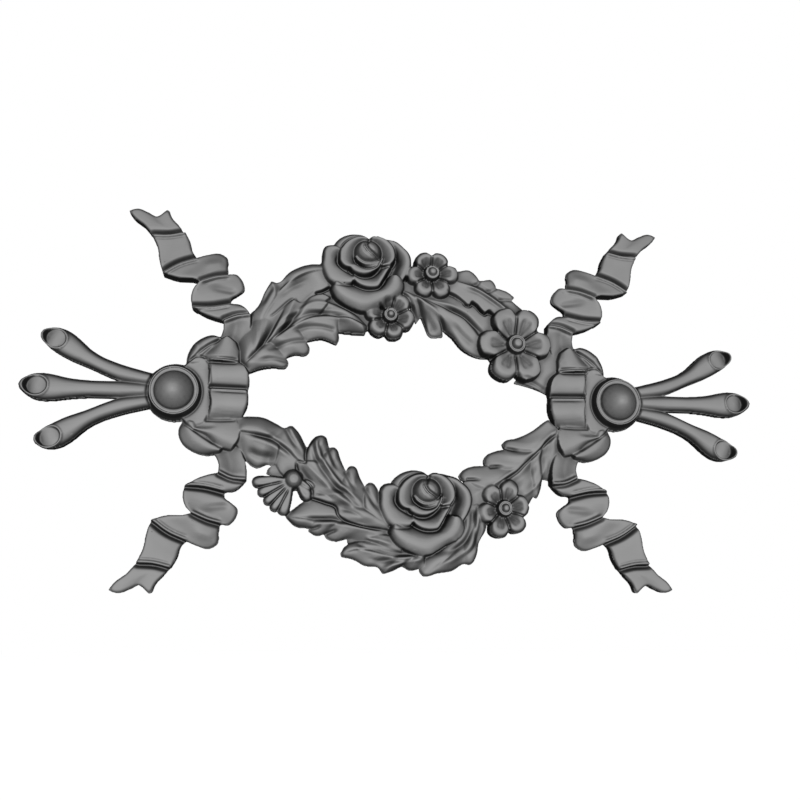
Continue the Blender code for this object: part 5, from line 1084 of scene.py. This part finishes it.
def lower_creases():
    """Vein the leaves of the lower garland, from left to right."""
    return [
        ([(-112, -27.5), (-104, -30.5), (-95, -36), (-88, -42), (-81, -48.5)], 1.8, 1.0, 0.2, 0.2),
        ([(-121, -28.7), (-110, -31.5), (-103, -34), (-96, -38), (-88, -43), (-83, -47.5)],
         1.8, -1.6, 0.2, 0.2),
        ([(-120, -33), (-110, -35.5), (-103, -38.5), (-95, -43), (-88, -48)], 1.6, 0.9, 0.2, 0.2),
        ([(-121, -42), (-113, -46), (-105, -47), (-98, -46)], 3.0, -2.2, 0.2, 0.3),
        ([(-89, -23.5), (-84, -32), (-79, -40), (-76, -47)], 1.5, 1.0, 0.1, 0.3),
        ([(-92, -24), (-87.5, -33), (-82, -41)], 1.7, -1.4, 0.1, 0.3),
        ([(-68, -31), (-68, -36), (-65.5, -44), (-61.5, -52), (-56.5, -59), (-50.5, -66),
          (-44.5, -72), (-36.5, -79), (-28.5, -86)], 1.6, 1.2, 0.05, 0.2),
        ([(-71, -35), (-69.5, -44), (-65.5, -53), (-60, -61), (-54, -68), (-48, -74), (-40, -81),
          (-32, -88)], 1.8, -2.0, 0.1, 0.2),
        ([(-65.5, -35), (-63, -43), (-59, -51), (-54, -58), (-47.5, -65.5), (-38.5, -73)],
         1.6, -1.1, 0.1, 0.2),
        ([(-57.5, -40), (-55, -48), (-50, -58)], 1.9, -1.8, 0.05, 0.4),
        ([(-44, -58), (-41, -66), (-36, -73)], 1.9, -1.8, 0.05, 0.4),
        ([(-29, -70), (-24, -80), (-18, -88)], 1.9, -1.8, 0.05, 0.3),
        ([(-81, -54), (-76, -61), (-69, -70)], 2.0, -1.4, 0.2, 0.3),
        ([(-77, -51), (-68, -60), (-60, -68), (-52, -76), (-44, -82), (-30, -90)],
         1.8, 1.1, 0.1, 0.3),
        ([(-68, -74), (-60, -76.5), (-52, -81)], 1.5, -1.2, 0.2, 0.4),
        ([(-48, -87), (-40, -89), (-30, -94)], 1.5, -1.2, 0.2, 0.4),
        ([(-83.5, -50), (-82.5, -56), (-77, -64.5), (-71, -71), (-70.7, -78.8), (-61, -82.2),
          (-51.8, -86.2), (-50.2, -91.5), (-45, -96), (-35, -99.5), (-25, -101.5), (-12, -103)],
         0.7, -3.2, 0.05, 0.1),
        ([(-83, -50), (-79, -50.8), (-76, -51.5), (-76, -44), (-73.5, -37), (-70, -32.5)],
         0.6, -2.6, 0.1, 0.1),
        ([(-76, -94.5), (-60, -95), (-55, -94.5), (-42, -98)], 2.0, -1.8, 0.2, 0.3),
        ([(-70, -98.5), (-60, -98), (-50, -99), (-35, -101.5), (-20, -104.5)],
         1.5, 1.0, 0.2, 0.2),
        ([(-72, -102.5), (-68, -102), (-63, -100)], 1.1, -2.0, 0.0, 0.3),
        ([(-60, -107), (-56, -105), (-50, -103)], 1.1, -2.0, 0.0, 0.3),
        ([(-28, -109), (-18, -111), (-8, -114)], 1.6, 1.2, 0.1, 0.2),
        ([(-38, -116.5), (-30, -119), (-20, -121), (-10, -123.5), (10, -124.8)],
         1.5, 1.0, 0.1, 0.2),
        ([(-36, -113.5), (-28, -116), (-18, -118), (-8, -120.3), (8, -121.5)],
         1.5, -1.6, 0.1, 0.2),
        ([(-15, -133), (-5, -129.5), (5, -127.3), (20, -125)], 1.4, 1.0, 0.1, 0.2),
        ([(-30, -124), (-18, -126.5), (-5, -126.5), (12, -126)], 1.6, -1.2, 0.3, 0.3),
        ([(53, -88), (50.5, -100), (45, -109.5), (36, -115.5)], 1.8, 1.0, 0.2, 0.2),
        ([(57, -86), (55.5, -99), (50.5, -110), (43, -117.5), (32, -123)], 1.8, -2.2, 0.1, 0.3),
        ([(60, -90), (58.5, -104), (52, -117), (42, -124.5), (28, -130)], 2.0, 1.2, 0.2, 0.2),
        ([(62.5, -90), (62, -104), (57, -117), (47, -126)], 1.7, -1.4, 0.2, 0.3),
        ([(127, -20.5), (117, -29.5), (107, -39.5), (97, -48.5), (92, -54), (86, -58),
          (75, -66), (56, -74)], 1.6, 1.0, 0.05, 0.2),
        ([(127, -24.5), (118.5, -32), (109, -41.5), (99, -50.5), (93.5, -56), (87, -60.5),
          (76, -68)], 1.0, -2.4, 0.05, 0.2),
        ([(122, -35), (110, -48), (99, -58.5), (88, -68)], 5.0, -3.0, 0.2, 0.2),
        ([(118, -50), (113, -62), (106, -70), (96, -76)], 1.5, 1.1, 0.2, 0.2),
        ([(96, -39.5), (91, -38.2), (86, -37.2)], 1.0, -2.2, 0.6, 0.0),
        ([(83, -51.8), (77, -51.7), (71.5, -52.3)], 1.0, -2.2, 0.6, 0.0),
        ([(64, -62.6), (58, -62.3), (52.5, -62.3)], 1.0, -2.2, 0.6, 0.0)]


def mirrored_lines(lines, x=1, z=1):
    """Mirror lines as the forms that they lie on are mirrored."""
    return [(np.array(points) * (x, z), *rest) for points, *rest in lines]


def creases():
    """List the ridges and grooves of the carving: points, half width, height and fades."""
    lines = []
    for x in (1, -1):
        for z in (1, -1):
            lines += mirrored_lines(ribbon_creases(), x, z)
        lines += mirrored_lines(knot_creases() + boss_creases(), x)
    lines += upper_creases() + lower_creases()
    for centre, petals, *_ in FLOWERS:
        lines += petal_creases(centre, petals)
    lines += daisy_creases()
    lines += rose_creases(UPPER_ROSE) + rose_creases(LOWER_ROSE)
    return lines


def feed(tree, socket, source):
    """Link a socket to another node's output, or set it to a plain value."""
    if isinstance(source, bpy.types.NodeSocket):
        tree.links.new(source, socket)
    else:
        socket.default_value = source


def node(tree, kind, **values):
    """Add a shader node, feed its sockets and set its own settings by name."""
    made = tree.nodes.new(kind)
    for name, value in values.items():
        if hasattr(made, name):
            setattr(made, name, value)
        else:
            feed(tree, made.inputs[name], value)
    return made


def math_node(tree, operation, *sources):
    """Add a maths node on some links or numbers, and return its output."""
    made = node(tree, "ShaderNodeMath", operation=operation)
    for socket, source in zip(made.inputs, sources):
        feed(tree, socket, source)
    return made.outputs[0]


def painted(name):
    """Make a material, and return it with its node tree and the sockets of its shader."""
    material = bpy.data.materials.new(name)
    material.use_nodes = True
    tree = material.node_tree
    return material, tree, tree.nodes["Principled BSDF"].inputs


def primer():
    """Grey primer on carved wood, with painted shade that darkens its steep sides and its hollows.

    The primer is a little uneven in tone and sheen, and the grain of the wood shows in it.
    """
    material, tree, shader = painted("grey primer")
    place = node(tree, "ShaderNodeTexCoord")
    blotches = node(tree, "ShaderNodeTexNoise", Vector=place.outputs["Object"], Scale=BLOTCHES,
                    Detail=BLOTCH_DETAIL).outputs["Fac"]
    paint = node(tree, "ShaderNodeMix", data_type="RGBA", Factor=blotches,
                 A=(*THIN_PRIMER, 1), B=(*THICK_PRIMER, 1))

    # painted shade: the primer is darkened as the surface turns away from the front, standing in for
    # shade
    facing = node(tree, "ShaderNodeSeparateXYZ", Vector=place.outputs["Normal"])
    level = math_node(tree, "ABSOLUTE", facing.outputs["Y"])
    facing_unshaded = math_node(tree, "POWER", level, SIDE_SHADE_STEEPNESS)
    # painted shade in hollows: the deeper a point lies below its surroundings, the darker it is painted
    depth = node(tree, "ShaderNodeAttribute", attribute_name="depth").outputs["Fac"]
    raised = math_node(tree, "MULTIPLY_ADD", depth, -HOLLOW_SHADE, 1.0)
    unshaded_share = math_node(tree, "MULTIPLY", facing_unshaded, raised)
    unshaded_share.node.use_clamp = True
    colour = node(tree, "ShaderNodeMix", data_type="RGBA", Factor=unshaded_share,
                  A=(*PAINTED_SHADE_COLOUR, 1), B=paint.outputs["Result"])

    along = node(tree, "ShaderNodeMapping", Vector=place.outputs["Object"], Scale=GRAIN)
    grain = node(tree, "ShaderNodeTexNoise", Vector=along.outputs["Vector"], Scale=1.0,
                 Detail=GRAIN_DETAIL)
    ridges = node(tree, "ShaderNodeBump", Height=grain.outputs["Fac"], Strength=GRAIN_STRENGTH,
                  Distance=GRAIN_DEPTH)
    feed(tree, shader["Base Color"], colour.outputs["Result"])
    feed(tree, shader["Specular IOR Level"], SHEEN)
    feed(tree, shader["Roughness"], math_node(tree, "MULTIPLY_ADD", blotches, *ROUGHNESS))
    feed(tree, shader["Normal"], ridges.outputs["Normal"])
    return material


def stage():
    """Add the pale floor with its own light, and the surroundings, which only look bright."""
    mesh = bpy.data.meshes.new("floor")
    mesh.from_pydata([(x * FLOOR_REACH, y * FLOOR_REACH, LOW[2] - FLOOR_BELOW)
                      for x, y in ((-1, -1), (1, -1), (1, 1), (-1, 1))], [], [(0, 1, 2, 3)])
    paint, _, shader = painted("pale floor")
    shader["Base Color"].default_value = (*FLOOR_COLOUR, 1)
    shader["Roughness"].default_value = FLOOR_ROUGHNESS
    mesh.materials.append(paint)
    floor = added("floor", mesh)
    floor.visible_diffuse = floor.visible_glossy = False
    only_floor = bpy.data.collections.new("only the floor")
    only_floor.objects.link(floor)
    overhead = added("floor light", bpy.data.lights.new("floor light", "SUN"))
    overhead.data.energy = FLOOR_LIGHT
    overhead.light_linking.receiver_collection = only_floor

    world = bpy.data.worlds.new("surroundings")
    bpy.context.scene.world = world
    world.use_nodes = True
    tree = world.node_tree
    bright = tree.nodes["Background"]
    bright.inputs["Color"].default_value = WHITE
    bright.inputs["Strength"].default_value = 1.0
    dim = node(tree, "ShaderNodeBackground", Color=WHITE, Strength=AMBIENT)
    seen = node(tree, "ShaderNodeLightPath").outputs["Is Camera Ray"]
    mix = node(tree, "ShaderNodeMixShader")
    for socket, shade in zip(mix.inputs, (seen, dim.outputs[0], bright.outputs[0])):
        tree.links.new(shade, socket)
    tree.links.new(mix.outputs[0], tree.nodes["World Output"].inputs["Surface"])


def lamp(name, place, target, size, power):
    """Hang a soft round lamp at a place, facing a target."""
    data = bpy.data.lights.new(name, "AREA")
    data.shape = "DISK"
    data.size = size
    data.energy = power
    light = added(name, data)
    light.location = place
    light.rotation_euler = (Vector(target) - Vector(place)).to_track_quat("-Z", "Y").to_euler()


def camera():
    """Look at the frame from below and left of its middle, as the photograph does."""
    data = bpy.data.cameras.new("camera")
    data.sensor_width = SENSOR
    data.lens = SENSOR / (2 * math.tan(FIELD_OF_VIEW / 2))
    eye = added("camera", data)
    back = -Vector(LOOKS_ALONG).normalized()
    right = Vector(UP).cross(back).normalized()
    facing = Matrix((right, back.cross(right), back)).transposed()
    place = Vector(EYE) + Vector((MIDDLE[0], HIGH[1], MIDDLE[2]))
    eye.matrix_world = Matrix.Translation(place) @ facing.to_4x4()
    bpy.context.scene.camera = eye
    return eye


piece = dressed_frame()
piece.data.materials.append(primer())
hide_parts(NODE)
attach(piece, "root")
stage()
eye = camera()
key = eye.matrix_world @ Vector((0, 0, KEY_BEHIND_EYE))
lamp("key", key, key + Vector(LOOKS_ALONG), KEY_SIZE, KEY_POWER)
bpy.context.scene.view_settings.view_transform = "Standard"
bpy.context.view_layer.update()
